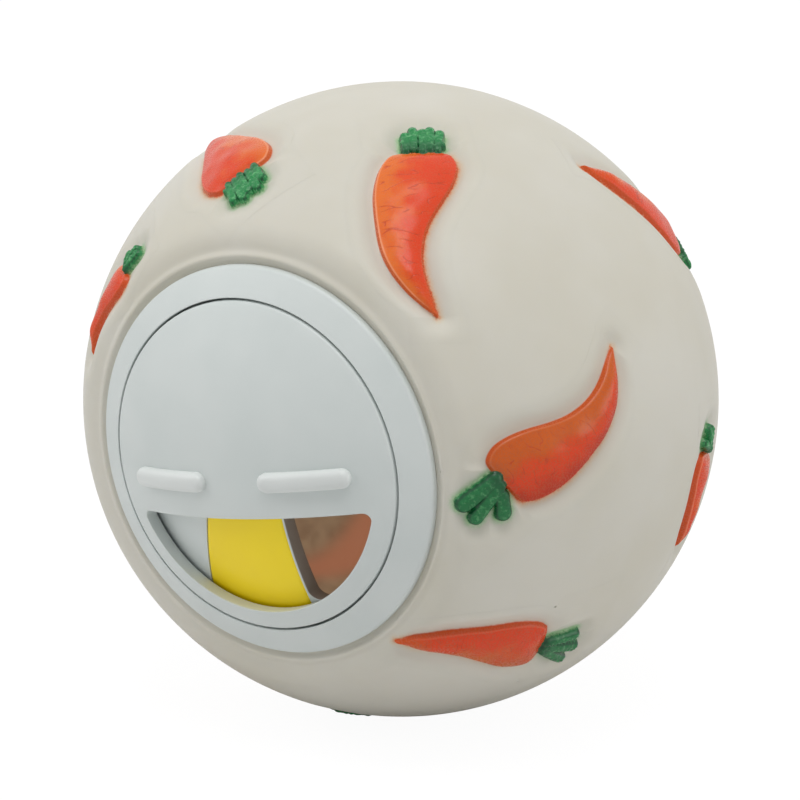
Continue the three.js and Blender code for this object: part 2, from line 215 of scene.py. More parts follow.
def inside(points: Array, outline: Array) -> Array:
    """Tells which points lie in a closed outline, by the parity of the sides that a ray crosses.

    Args:
        points: Rows of two coordinates.
        outline: The outline's corners in order.

    Returns:
        True for each point within.
    """
    x, y = points[:, :1], points[:, 1:]
    x0, y0 = outline[:, 0], outline[:, 1]
    x1, y1 = np.roll(x0, -1), np.roll(y0, -1)
    spans = (y0 > y) != (y1 > y)
    crossing = x0 + (y - y0) * (x1 - x0) / np.where(y1 == y0, 1e-12, y1 - y0)
    return (spans & (x < crossing)).sum(axis=1) % 2 == 1


def turned(outline: Array, degrees: float) -> Array:
    """Turns an outline about the axis, anticlockwise as seen from the front."""
    cosine, sine = math.cos(math.radians(degrees)), math.sin(math.radians(degrees))
    return outline @ np.array([[cosine, sine], [-sine, cosine]])


def lifted(flat: Array, height: Array) -> Array:
    """Lifts flat spots, each sideways and up as seen from the front, to heights along the axis."""
    return np.stack([flat[..., 0], -height, flat[..., 1]], axis=-1)


def edge_round(rounding: float, steps: int) -> Array:
    """Follows a rounded edge as a quarter circle.

    Args:
        rounding: The edge's radius.
        steps: Number of points.

    Returns:
        Rows of distance in from the edge, radius times 1 less the cosine, and of the surface's drop
        there, radius times 1 less the sine.
    """
    lean = np.linspace(0, np.pi / 2, steps)
    return rounding * (1 - np.stack([np.cos(lean), np.sin(lean)], axis=-1))


def half_moon(chord: float, radius: float, corner: float, spacing: float = 0.22) -> Array:
    """Draws a half-moon below the axis, with rounded corners where its chord meets its arc.

    Args:
        chord: Distance of the chord from the axis.
        radius: Radius of the arc about the axis.
        corner: Radius of the two corners.
        spacing: Distance between points, a third of it in the corners.

    Returns:
        The outline, anticlockwise as seen from the front.
    """
    middle = math.sqrt((radius - corner) ** 2 - (chord + corner) ** 2)
    lean = math.atan2(middle, chord + corner)

    def sweep(x: float, y: float, size: float, start: float, end: float, step: float) -> Array:
        """Points on a circle about x, y, without the last one."""
        angle = np.linspace(start, end, max(int(abs(end - start) * size / step), 4), endpoint=False)
        return np.stack([x + size * np.cos(angle), y + size * np.sin(angle)], axis=-1)

    down = math.pi / 2
    line = np.linspace(middle, -middle, int(2 * middle / spacing), endpoint=False)
    return np.concatenate([
        np.stack([line, np.full_like(line, -chord)], axis=-1),
        sweep(-middle, -chord - corner, corner, down, 3 * down - lean, spacing / 3),
        sweep(0, 0, radius, -down - lean, -down + lean, spacing),
        sweep(middle, -chord - corner, corner, -down + lean, down, spacing / 3),
    ])


def link(name: str, data: bpy.types.ID) -> bpy.types.Object:
    """Makes an object of a mesh, light or camera and puts it in the scene.

    Args:
        name: The object's name.
        data: What it shows.

    Returns:
        The object.
    """
    thing = bpy.data.objects.new(name, data)
    bpy.context.scene.collection.objects.link(thing)
    return thing


class Surface:
    """The mesh of one piece, gathered block by block in the ball's frame, in millimetres."""

    def __init__(self) -> None:
        """Starts without any block."""
        self.points: list[Array] = []
        self.faces: list[list[int]] = []
        self.paints: list[tuple[int, str, Array]] = []
        self.count = 0

    def add(self, block: Block, **paints: Array) -> None:
        """Adds a closed block and turns its faces outwards.

        The sign of the block's volume, a sixth of the sum of each triangle's triple product, tells
        whether its faces have to be turned over.

        Args:
            block: Points, and arrays of faces with equal numbers of corners.
            paints: Values for the points, by the name of the attribute.
        """
        points, faces = block
        fans = [face[:, [0, k, k + 1]] for face in faces for k in range(1, face.shape[1] - 1)]
        first, second, third = (points[np.concatenate(fans)[:, k]] for k in range(3))
        inverted = np.einsum("ij,ij->", first, np.cross(second, third)) < 0
        for face in faces:
            self.faces.extend(((face[:, ::-1] if inverted else face) + self.count).tolist())
        self.points.append(points)
        self.paints.extend((self.count, name, values) for name, values in paints.items())
        self.count += len(points)

    def build(
            self, name: str, body: Body, slot: Slot, material: bpy.types.Material,
            crease: float = 38, replaces: str | None = None) -> None:
        """Makes the piece.

        Args:
            name: The piece's name.
            body: The body that it rides on.
            slot: The record's slot of its finish; not used.
            material: Its material.
            crease: Edges sharper than this stay sharp, degrees.
            replaces: The solid that it stands for, if any.
        """
        mesh = bpy.data.meshes.new(name)
        centre = (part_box("door")[0].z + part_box("door")[1].z) / 2
        mesh.from_pydata(np.concatenate(self.points) * MM + [0, 0, centre], [], self.faces)
        for label in sorted({paint[1] for paint in self.paints}):
            values = np.zeros(self.count, np.float32)
            for start, _, part in (paint for paint in self.paints if paint[1] == label):
                values[start:start + len(part)] = part
            mesh.attributes.new(label, "FLOAT", "POINT").data.foreach_set("value", values)
        mesh.polygons.foreach_set("use_smooth", np.ones(len(mesh.polygons), bool))
        mesh.set_sharp_from_angle(angle=math.radians(crease))
        mesh.materials.append(material)
        piece = link(name, mesh)
        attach(piece, body.value)
        if replaces:
            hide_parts(replaces)
        mesh.calc_loop_triangles()
        LOG.info("%s: %d triangles", name, len(mesh.loop_triangles))


def revolve(profile: Array, columns: int) -> Block:
    """Revolves a closed profile about the mouth's axis.

    Args:
        profile: Rows of distance from the axis and height.
        columns: Steps round the axis.

    Returns:
        The block. Each row of its grid is one point of the profile, carried round.
    """
    angle, _ = directions(columns)
    points = around(profile[:, :1], angle[None], profile[:, 1:])
    return points.reshape(-1, 3), [grid(len(profile), columns, True, True)]


def revolve_poles(profile: Array, columns: int) -> Block:
    """Revolves a profile that starts and ends on the axis.

    Args:
        profile: Rows of distance from the axis and height, the first and last on the axis.
        columns: Steps round the axis.

    Returns:
        The block, whose first and last points are single and joined by triangles.
    """
    angle, _ = directions(columns)
    body = around(profile[1:-1, :1], angle[None], profile[1:-1, 1:]).reshape(-1, 3)
    ends = around(np.zeros(2), np.zeros(2), profile[[0, -1], 1])
    here = np.arange(columns)
    beside = (here + 1) % columns
    last = len(body) - columns
    fans = [
        np.stack([beside, here, np.full(columns, len(body))], axis=-1),
        np.stack([last + here, last + beside, np.full(columns, len(body) + 1)], axis=-1),
    ]
    return np.concatenate([body, ends]), [grid(len(profile) - 2, columns, False, True), *fans]


def claw(profile: Array, middle: float, spread: float, slot: float, columns: int) -> Block:
    """Carries a closed profile round part of a circle, between two slots with parallel sides.

    A side lies off its slot's middle by the arc sine of half the slot's width over the distance
    from the axis.

    Args:
        profile: Rows of distance from the axis and height.
        middle: Angle of the claw's middle, degrees.
        spread: Angle from one slot's middle to the next, degrees.
        slot: Width of the slots.
        columns: Vertices from side to side.

    Returns:
        The block, closed by the profile itself at both sides.
    """
    half = math.radians(spread) / 2 - np.arcsin(slot / 2 / profile[:, :1])
    angle = math.radians(middle) + half * np.linspace(-1, 1, columns)[None]
    points = around(profile[:, :1], angle, profile[:, 1:]).reshape(-1, 3)
    rows = np.arange(len(profile)) * columns
    sides = [rows[None], (rows + columns - 1)[None, ::-1]]
    return points, [grid(len(profile), columns, True, False), *sides]


def bar(middle: float, sizes: Sequence[float], rounding: float) -> Block:
    """Makes a block with rounded edges that lies across the axis.

    A rounded rectangle is carried outwards from smaller first copies.

    Args:
        middle: Angle of the block round the axis, degrees.
        sizes: Inner and outer distance from the axis, width, and lowest and highest height.
        rounding: Reach of its rounded edges.

    Returns:
        The block.
    """
    inner, outer, width, back, front = sizes
    half = width / 2
    corners = [(-half, back), (half, back), (half, front), (-half, front)]
    outline = rounded([(x, height, rounding) for x, height in corners], 4)
    centre = np.array([0, (front + back) / 2])
    narrower, further = edge_round(rounding, 5)[::-1].T
    shrink = np.append(1 - narrower / half, 1)
    reach = np.append(inner + further, outer)
    rows = centre + (outline - centre) * shrink[:, None, None]
    distance = np.broadcast_to(reach[:, None], rows.shape[:2])
    points = np.stack([distance, -rows[..., 1], rows[..., 0]], axis=-1).reshape(-1, 3)
    cosine, sine = math.cos(math.radians(middle)), math.sin(math.radians(middle))
    points = points @ np.array([[cosine, 0, sine], [0, 1, 0], [-sine, 0, cosine]])
    last = (len(rows) - 1) * len(outline)
    ends = [np.arange(len(outline))[None, ::-1], last + np.arange(len(outline))[None]]
    return points, [grid(len(rows), len(outline), False, True), *ends]


@dataclass(frozen=True)
class Place:
    """A place on a sphere: the directions of its middle, its heading and its heading's left."""

    middle: Array
    ahead: Array
    left: Array

    @classmethod
    def at(cls, longitude: float, latitude: float, heading: float) -> "Place":
        """Finds the place.

        Args:
            longitude: Degrees from the mouth towards +X.
            latitude: Degrees above the level of the ball's centre.
            heading: Degrees of the heading from east, anticlockwise as seen from outside.

        Returns:
            The place.
        """
        lon, lat, turn = (math.radians(value) for value in (longitude, latitude, heading))
        middle = np.array([
            math.sin(lon) * math.cos(lat),
            -math.cos(lon) * math.cos(lat),
            math.sin(lat),
        ])
        east = np.array([math.cos(lon), math.sin(lon), 0])
        ahead = east * math.cos(turn) + np.cross(middle, east) * math.sin(turn)
        return cls(middle, ahead, np.cross(middle, ahead))

    def over(self, radius: float, along: Array, across: Array, height: Array) -> Array:
        """Gives points over the sphere.

        A point lies on the great circle that leaves the middle in its direction. The circle's angle
        is the point's distance over the radius.

        Args:
            radius: The sphere's radius.
            along: Distance along the heading.
            across: Distance to the left of the heading.
            height: Height over the sphere.

        Returns:
            The points, about the sphere's centre.
        """
        angle = np.hypot(along, across) / radius
        scale = np.sinc(angle / np.pi) / radius
        unit = (
            np.cos(angle)[..., None] * self.middle
            + (along * scale)[..., None] * self.ahead
            + (across * scale)[..., None] * self.left
        )
        return unit * (radius + height)[..., None]

    def measure(self, points: Array, radius: float) -> tuple[Array, Array]:
        """Gives the distances along and left of the heading of points on the sphere.

        Args:
            points: Points about the sphere's centre, at any height.
            radius: The sphere's radius.

        Returns:
            Distances along and across, the opposite of what over does.
        """
        unit = points / np.linalg.norm(points, axis=-1, keepdims=True)
        ahead, left = unit @ self.ahead, unit @ self.left
        distance = radius * np.arccos(np.clip(unit @ self.middle, -1, 1))
        scale = distance / np.maximum(np.hypot(ahead, left), 1e-9)
        return ahead * scale, left * scale


@dataclass(frozen=True)
class Ridge:
    """A raised form on a sphere: a centreline, half widths along it, and a height at each point."""

    place: Place
    radius: float
    along: Array
    across: Array
    width: Array
    shares: Array
    root: float

    def spots(self) -> tuple[Array, Array]:
        """Gives the distances along and across of the form's grid.

        A point stands off the centreline, square to it, by its share of the half width there.

        Returns:
            Two grids with a row for each station and a column for each share.
        """
        forward = np.stack([np.gradient(self.along), np.gradient(self.across)])
        forward = forward / np.linalg.norm(forward, axis=0)
        offset = self.width[:, None] * self.shares[None]
        return (
            self.along[:, None] - forward[1][:, None] * offset,
            self.across[:, None] + forward[0][:, None] * offset,
        )

    def block(self, height: Array, centre: Array) -> Block:
        """Closes the form: its grid above, a skirt down to its root and a floor of strips.

        Args:
            height: Heights of the grid. The first and last station have no width and count once.
            centre: The sphere's centre, in the ball's frame.

        Returns:
            The block. Its points are the grid without its first and last station, the two ends,
            and the same rim at the depth of the root.
        """
        along, across = self.spots()
        rows, columns = height.shape[0] - 2, height.shape[1]
        inner = slice(1, -1)
        rim = [(inner, 0), (inner, -1), ([0, -1], 0)]
        flat_along = np.concatenate([
            along[inner].ravel(), along[[0, -1], 0], *(along[part] for part in rim)])
        flat_across = np.concatenate([
            across[inner].ravel(), across[[0, -1], 0], *(across[part] for part in rim)])
        deep = np.full(2 * rows + 2, -self.root)
        lift = np.concatenate([height[inner].ravel(), height[[0, -1], 0], deep])
        points = self.place.over(self.radius, flat_along, flat_across, lift) + centre

        top = np.arange(rows * columns).reshape(rows, columns)
        start, end = rows * columns, rows * columns + 1
        left = end + 1 + np.arange(rows)
        right = left + rows
        deep_start, deep_end = right[-1] + 1, right[-1] + 2
        one = np.ones(columns - 1, int)
        faces = [
            grid(rows, columns),
            np.stack([top[0, 1:], top[0, :-1], one * start], axis=-1),
            np.stack([top[-1, :-1], top[-1, 1:], one * end], axis=-1),
            np.stack([top[:-1, 0], top[1:, 0], left[1:], left[:-1]], axis=-1),
            np.stack([top[1:, -1], top[:-1, -1], right[:-1], right[1:]], axis=-1),
            np.stack([left[:-1], left[1:], right[1:], right[:-1]], axis=-1),
            np.array([
                [start, top[0, 0], left[0], deep_start],
                [top[-1, 0], end, deep_end, left[-1]],
                [top[0, -1], start, deep_start, right[0]],
                [end, top[-1, -1], right[-1], deep_end],
            ]),
            np.array([[deep_start, left[0], right[0]], [left[-1], deep_end, right[-1]]]),
        ]
        return points, faces


class Wire:
    """A shader's socket. Arithmetic on it adds Math nodes."""

    def __init__(self, sheet: "NodeSheet", socket: bpy.types.NodeSocket) -> None:
        """Keeps the socket and the sheet that it is on."""
        self.sheet = sheet
        self.socket = socket

    def _math(self, operation: str, first: "Wire | float", second: "Wire | float") -> "Wire":
        """Adds a Math node of two values."""
        return self.sheet.add("ShaderNodeMath", {"operation": operation}, {0: first, 1: second})

    def __add__(self, other: "Wire | float") -> "Wire":
        """The sum."""
        return self._math("ADD", self, other)

    def __radd__(self, other: float) -> "Wire":
        """The sum, from the right."""
        return self._math("ADD", other, self)

    def __sub__(self, other: "Wire | float") -> "Wire":
        """The difference."""
        return self._math("SUBTRACT", self, other)

    def __rsub__(self, other: float) -> "Wire":
        """The difference, from the right."""
        return self._math("SUBTRACT", other, self)

    def __mul__(self, other: "Wire | float") -> "Wire":
        """The product."""
        return self._math("MULTIPLY", self, other)

    def __rmul__(self, other: float) -> "Wire":
        """The product, from the right."""
        return self._math("MULTIPLY", other, self)

    def __abs__(self) -> "Wire":
        """The size without its sign."""
        return self._math("ABSOLUTE", self, 0.0)

    def larger(self, other: "Wire") -> "Wire":
        """The larger of two values."""
        return self._math("MAXIMUM", self, other)

    def above(self, low: float, high: float) -> "Wire":
        """Rises smoothly from 0 where this value is low to 1 where it is high.

        Args:
            low: Where the rise starts.
            high: Where it ends.

        Returns:
            The share.
        """
        return self.sheet.add(
            "ShaderNodeMapRange",
            {"interpolation_type": "SMOOTHSTEP"},
            {"Value": self, "From Min": low, "From Max": high},
        )


class NodeSheet:
    """The nodes of one material or of the world."""

    def __init__(self, tree: bpy.types.NodeTree) -> None:
        """Clears the tree and keeps it."""
        self.tree = tree
        tree.nodes.clear()

    def add(
            self, kind: str, settings: dict[str, object] | None = None,
            sockets: dict[str | int, object] | None = None, output: int = 0) -> Wire | None:
        """Adds a node.

        Args:
            kind: The node's type.
            settings: Its settings, which are set first.
            sockets: Values or wires for its inputs, by name or number.
            output: The number of the output that is wanted.

        Returns:
            The output, or nothing for a node that has none.
        """
        node = self.tree.nodes.new(kind)
        for name, value in (settings or {}).items():
            setattr(node, name, value)
        for name, value in (sockets or {}).items():
            if isinstance(value, Wire):
                self.tree.links.new(value.socket, node.inputs[name])
            else:
                node.inputs[name].default_value = value
        return Wire(self, node.outputs[output]) if len(node.outputs) else None

    def paint(self, name: str) -> Wire:
        """Reads an attribute of the mesh."""
        return self.add("ShaderNodeAttribute", {"attribute_name": name}, output=2)

    def noise(self, grain: float, detail: float = 2) -> Wire:
        """Adds a noise of about 0 to 1 over the object's own coordinates.

        Args:
            grain: Size of its grains, millimetres.
            detail: How many finer noises are added.

        Returns:
            The noise.
        """
        spot = self.add("ShaderNodeTexCoord", output=3)
        sockets = {"Vector": spot, "Scale": 1 / (grain * MM), "Detail": detail}
        return self.add("ShaderNodeTexNoise", None, sockets)

    def blend(self, share: Wire | float, first: Wire | Colour, second: Wire | Colour) -> Wire:
        """Mixes two colours, all second where the share is 1."""
        return self.add("ShaderNodeMix", {"data_type": "RGBA"}, {0: share, 6: first, 7: second}, 2)

    def bump(self, height: Wire, depth: float, strength: float) -> Wire:
        """Turns a height of 0 to 1 into a normal, with its depth in millimetres."""
        sockets = {"Height": height, "Distance": depth * MM, "Strength": strength}
        return self.add("ShaderNodeBump", None, sockets)

    def surface(self, sockets: dict[str, object]) -> None:
        """Adds the surface shader with its sockets, and the material's output."""
        shader = self.add("ShaderNodeBsdfPrincipled", None, sockets)
        self.add("ShaderNodeOutputMaterial", None, {"Surface": shader})


def new_material(name: str) -> tuple[bpy.types.Material, NodeSheet]:
    """Starts a material.

    Args:
        name: Its name.

    Returns:
        The material and its empty sheet.
    """
    material = bpy.data.materials.new(name)
    material.use_nodes = True
    return material, NodeSheet(material.node_tree)


@dataclass(frozen=True)
class SkinFinish:
    """Cream vinyl, matt and slightly translucent, with painted carrots and leaves.

    The attributes edge_orange and edge_green hold the distance in from the outline of a carrot or
    tuft in millimetres, less than nothing outside. Red, mist and brown tell how much of each colour
    there is, share how far along the carrot a point lies, crease how deep between two leaves, and
    run and across are the distances along and across the carrot. Grains and reaches are in
    millimetres.
    """

    light: Colour = srgb(211, 208, 197)
    dark: Colour = srgb(206, 202, 188)
    orange_mist: Colour = srgb(214, 176, 128)
    green_mist: Colour = srgb(128, 184, 122)
    orange: Colour = srgb(232, 114, 40)
    brown: Colour = srgb(200, 90, 26)
    speckle: Colour = srgb(176, 76, 22)
    red: Colour = srgb(226, 66, 22)
    deep: Colour = srgb(176, 38, 10)
    # Painted shade: a darker red laid in the carrots' grooves, besides their bump.
    groove: Colour = srgb(190, 60, 20)
    # Painted highlight: the pale line of light along the carrots' edge ridge.
    ridge_highlight: Colour = srgb(246, 172, 132)
    rim: Colour = srgb(206, 86, 34)
    green: Colour = srgb(34, 136, 72)
    pale_green: Colour = srgb(104, 190, 122)
    # Dark green: painted shade between the leaves and at their roots, and the darker tufts where the
    # attribute brown is high.
    dark_green: Colour = srgb(8, 66, 38)
    # Colours of the glow on the wall's inside: painted light that stands in for light through the wall.
    inner_light: Colour = srgb(150, 128, 104)
    inner_dark: Colour = srgb(96, 78, 66)
    inner_orange: Colour = srgb(190, 104, 78)
    vinyl_roughness: float = 0.52
    paint_roughness: float = 0.27
    leaf_roughness: float = 0.24
    mottle: float = 16.0
    grain: float = 0.35
    cloud_grain: float = 2.6
    ragged_grain: float = 0.8
    speck_grain: float = 0.2
    streak_grain: float = 0.5
    inner_grain: float = 2.4
    ragged_share: float = 0.4
    speck_ragged: float = 0.35
    leaf_ragged: float = 0.4
    mist_reach: float = 1.15
    stain_and_glow_reach: float = 0.5
    green_reach: float = 1.0
    green_share: float = 0.9
    mist_depth: float = 0.2
    paint_edge: float = 0.06
    leaf_edge: float = 0.08
    paint_uneven: float = 0.14
    speck_lump: float = 0.1
    carrot_lump: float = 0.072
    leaf_lump: float = 1.62
    groove_cut: float = 0.6
    vinyl_lump: float = 0.3
    groove_squeeze: float = 0.3
    groove_width: Span = (0.004, 0.02)
    groove_patch: Span = (0.47, 0.56)
    groove_reach: Span = (0.5, 0.9)
    groove_share: float = 0.7
    clouds: Span = (0.3, 0.7)
    brown_clouds: float = 0.6
    red_clouds: float = 1.2
    red_run: Span = (0.05, 0.75)
    belly_clouds: float = 0.8
    belly_run: Span = (0.2, 0.9)
    speck_run: Span = (0.45, 0.62)
    speck_share: float = 0.16
    speck_brown: float = 0.4
    tip_run: Span = (0.75, 1.0)
    tip_share: float = 0.6
    rim_run: Span = (0.18, 0.34)
    rim_share: float = 0.75
    # Where and how strongly the painted highlight line lies inside the rim.
    ridge_highlight_rise: Span = (0.22, 0.32)
    ridge_highlight_fall: Span = (0.36, 0.5)
    ridge_highlight_share: float = 0.35
    ridge_highlight_clouds: float = 0.5
    streak_mix: float = 0.75
    streak_run: Span = (0.5, 0.66)
    streak_share: float = 0.75
    root_run: Span = (-0.09, 0.0)
    root_share: float = 0.6
    crease_run: Span = (0.1, 0.9)
    crease_share: float = 0.85
    relief_depth: float = 0.035
    vinyl_depth: float = 0.01
    glow: float = 0.36

    def cream(self, sheet: NodeSheet) -> Wire:
        """The vinyl's colour: two creams in wide soft clouds."""
        return sheet.blend(sheet.noise(self.mottle, 3).above(*self.clouds), self.dark, self.light)

    def vinyl_sockets(self) -> dict[str, object]:
        """The shader's constants that both materials share."""
        return {
            "Subsurface Weight": 0.1, "Subsurface Radius": (1.0, 0.8, 0.5), "Subsurface Scale": 0.001,
        }

    def creases(self, sheet: NodeSheet) -> Wire:
        """Draws the fine grooves across a carrot.

        They are the lines where a noise that is stretched across the carrot passes through a
        middle value, kept in patches where a second noise is high.

        Args:
            sheet: The material's sheet.

        Returns:
            From 0 to 1 in a groove.
        """
        places = {0: sheet.paint("run"), 1: sheet.paint("across") * self.groove_squeeze}
        spot = sheet.add("ShaderNodeCombineXYZ", None, places)
        wave = sheet.add("ShaderNodeTexNoise", None, {"Vector": spot, "Scale": 0.9, "Detail": 0.6})
        patch = sheet.add(
            "ShaderNodeTexNoise", None, {"Vector": spot, "Scale": 0.8, "Detail": 1.0, "Distortion": 0.4})
        return (1 - abs(wave - 0.5).above(*self.groove_width)) * patch.above(*self.groove_patch)

    def carrot_colour(self, sheet: NodeSheet, speck: Wire, cloud: Wire, groove: Wire) -> Wire:
        """Paints the carrots: an orange ground, red over one side, fine specks and a painted highlight by the
        edge.

        The ground is browner with the attribute brown, the red side is deeper there too, the tip is
        brown, and a darker rim runs round the outline. A pale line of painted highlight, for light on
        the edge ridge, lies inside the rim where there is neither mist nor brown. The coarse noise makes
        all of them uneven.

        Args:
            sheet: The material's sheet.
            speck: Fine noise.
            cloud: Coarse noise.
            groove: The grooves, which are darkened as painted shade.

        Returns:
            The colour.
        """
        inset, red, mist = sheet.paint("edge_orange"), sheet.paint("red"), sheet.paint("mist")
        brown = sheet.paint("brown")
        ground = (brown + (cloud - 0.5) * self.brown_clouds).above(0.0, 1.0)
        colour = sheet.blend(ground, self.orange, self.brown)
        side = red + (cloud - 0.5) * self.red_clouds + 0.5
        colour = sheet.blend(side.above(*self.red_run), colour, self.red)
        belly = (red + (cloud - 0.5) * self.belly_clouds).above(*self.belly_run) * brown
        colour = sheet.blend(belly, colour, self.deep)
        specks = speck.above(*self.speck_run) * (self.speck_share + self.speck_brown * brown)
        colour = sheet.blend(specks, colour, self.speckle)
        tip = sheet.paint("share").above(*self.tip_run)
        colour = sheet.blend(tip * self.tip_share, colour, self.brown)
        colour = sheet.blend((1 - inset.above(*self.rim_run)) * self.rim_share, colour, self.rim)
        # Painted highlight: a pale line inside the rim for the light on the carrot's edge ridge.
        line = inset.above(*self.ridge_highlight_rise) * (1 - inset.above(*self.ridge_highlight_fall))
        painted_highlight = line * (1 - mist) * (1 - brown) * (self.ridge_highlight_share + self.ridge_highlight_clouds * cloud)
        colour = sheet.blend(painted_highlight, colour, self.ridge_highlight)
        # The grooves are darkened with painted shade.
        return sheet.blend(groove * self.groove_share, colour, self.groove)

    def leaf_colour(self, sheet: NodeSheet, speck: Wire) -> Wire:
        """Paints the leaves: green with pale streaks, painted shade between them and near the carrot, and
        darker with brown.

        Args:
            sheet: The material's sheet.
            speck: Fine noise.

        Returns:
            The colour.
        """
        share, crease = sheet.paint("share"), sheet.paint("crease")
        streak = sheet.noise(self.streak_grain, 3) * self.streak_mix + speck * (1 - self.streak_mix)
        streak = streak.above(*self.streak_run) * self.streak_share
        colour = sheet.blend(streak, self.green, self.pale_green)
        # Dark green as painted shade near the carrot and between the leaves, and darker with the attribute
        # brown.
        for dark in (
            share.above(*self.root_run) * self.root_share,
            sheet.paint("brown") * self.root_share,
            crease.above(*self.crease_run) * self.crease_share,
        ):
            colour = sheet.blend(dark, colour, self.dark_green)
        return colour

    def wall_material(self) -> bpy.types.Material:
        """Makes the wall's material. Its inside glows faintly: painted light for the light through the soft
        wall.

        Returns:
            The material.
        """
        material, sheet = new_material("cream_vinyl")
        cloud, grain = sheet.noise(self.inner_grain, 3), sheet.noise(self.grain, 2)
        # Painted light: the inside glows in clouds, orange under the carrots.
        wall = sheet.blend(cloud.above(*self.clouds), self.inner_dark, self.inner_light)
        shine = sheet.blend(sheet.paint("stain").above(0.0, 1.0), wall, self.inner_orange)
        sheet.surface(self.vinyl_sockets() | {
            "Base Color": self.cream(sheet),
            "Roughness": self.vinyl_roughness + 0.06 * (cloud - 0.5),
            "Emission Color": sheet.blend(sheet.paint("inner"), BLACK, shine),
            "Emission Strength": self.glow,
            "Normal": sheet.bump(grain, self.vinyl_depth, 0.5),
        })
        return material

    def relief_material(self) -> bpy.types.Material:
        """Makes the material of the carrots, the leaves and the vinyl around them.

        Outside the outlines the paint's mist fades with the square of a smooth rise over the
        distance. Fine noises are added to the distance, so that the mist and its paint end raggedly.

        Returns:
            The material.
        """
        material, sheet = new_material("painted_vinyl")
        ragged, grain = sheet.noise(self.ragged_grain, 4), sheet.noise(self.grain, 2)
        speck, cloud = sheet.noise(self.speck_grain, 2), sheet.noise(self.cloud_grain, 3)
        orange, green = sheet.paint("edge_orange"), sheet.paint("edge_green")
        mist = sheet.paint("mist")
        shaky = (ragged - 0.5) * self.ragged_share + (speck - 0.5) * self.speck_ragged
        colour = self.cream(sheet)
        for edge, reach, share, paint in (
            (orange, self.mist_reach, mist, self.orange_mist),
            (orange, self.stain_and_glow_reach, mist, self.rim),
            (green, self.green_reach, self.green_share, self.green_mist),
        ):
            haze = (edge + shaky).above(-reach, self.mist_depth)
            colour = sheet.blend(haze * haze * share, colour, paint)
        carrot = (orange + shaky * mist).above(-self.paint_edge, self.paint_edge)
        leaf = (green + shaky * self.leaf_ragged).above(-self.paint_edge, self.leaf_edge)
        groove = self.creases(sheet) * orange.above(*self.groove_reach)
        colour = sheet.blend(carrot, colour, self.carrot_colour(sheet, speck, cloud, groove))
        colour = sheet.blend(leaf, colour, self.leaf_colour(sheet, speck))
        covered = carrot + leaf * (1 - carrot)
        painted = self.paint_roughness * (1 - leaf) + self.leaf_roughness * leaf
        painted = painted + self.paint_uneven * (speck - 0.5)
        rough = painted * covered + self.vinyl_roughness * (1 - covered)
        lumps = speck * self.speck_lump + ragged * (self.carrot_lump + leaf * self.leaf_lump)
        lumps = lumps - groove * self.groove_cut
        height = lumps * covered + grain * self.vinyl_lump * (1 - covered)
        sheet.surface(self.vinyl_sockets() | {
            "Base Color": colour,
            "Specular IOR Level": 0.35,
            "Roughness": rough,
            "Normal": sheet.bump(height, self.relief_depth, 0.8),
        })
        return material


@dataclass(frozen=True)
class SatinPlastic:
    """Moulded plastic with a fine spark-eroded skin, and painted shade on the outlet's wall, where its
    attribute is 1.
    """

    name: str
    colour: Colour
    shade: Colour
    roughness: float
    mottle: float = 9.0
    grain: float = 0.16
    relief: float = 0.008
    # Painted shade: the darker grey laid on the plate's outlet wall, which lies in shadow.
    cut: Colour = srgb(150, 140, 130)

    def material(self) -> bpy.types.Material:
        """Makes the material.

        Returns:
            The material.
        """
        material, sheet = new_material(self.name)
        cloud, grain = sheet.noise(self.mottle), sheet.noise(self.grain)
        ground = sheet.blend(cloud.above(0.3, 0.7), self.shade, self.colour)
        sheet.surface({
            # The outlet's wall takes the painted shade colour.
            "Base Color": sheet.blend(sheet.paint("cut"), ground, self.cut),
            "Roughness": self.roughness + 0.12 * (grain - 0.5) + 0.06 * (cloud - 0.5),
            "Normal": sheet.bump(grain, self.relief, 0.7),
        })
        return material


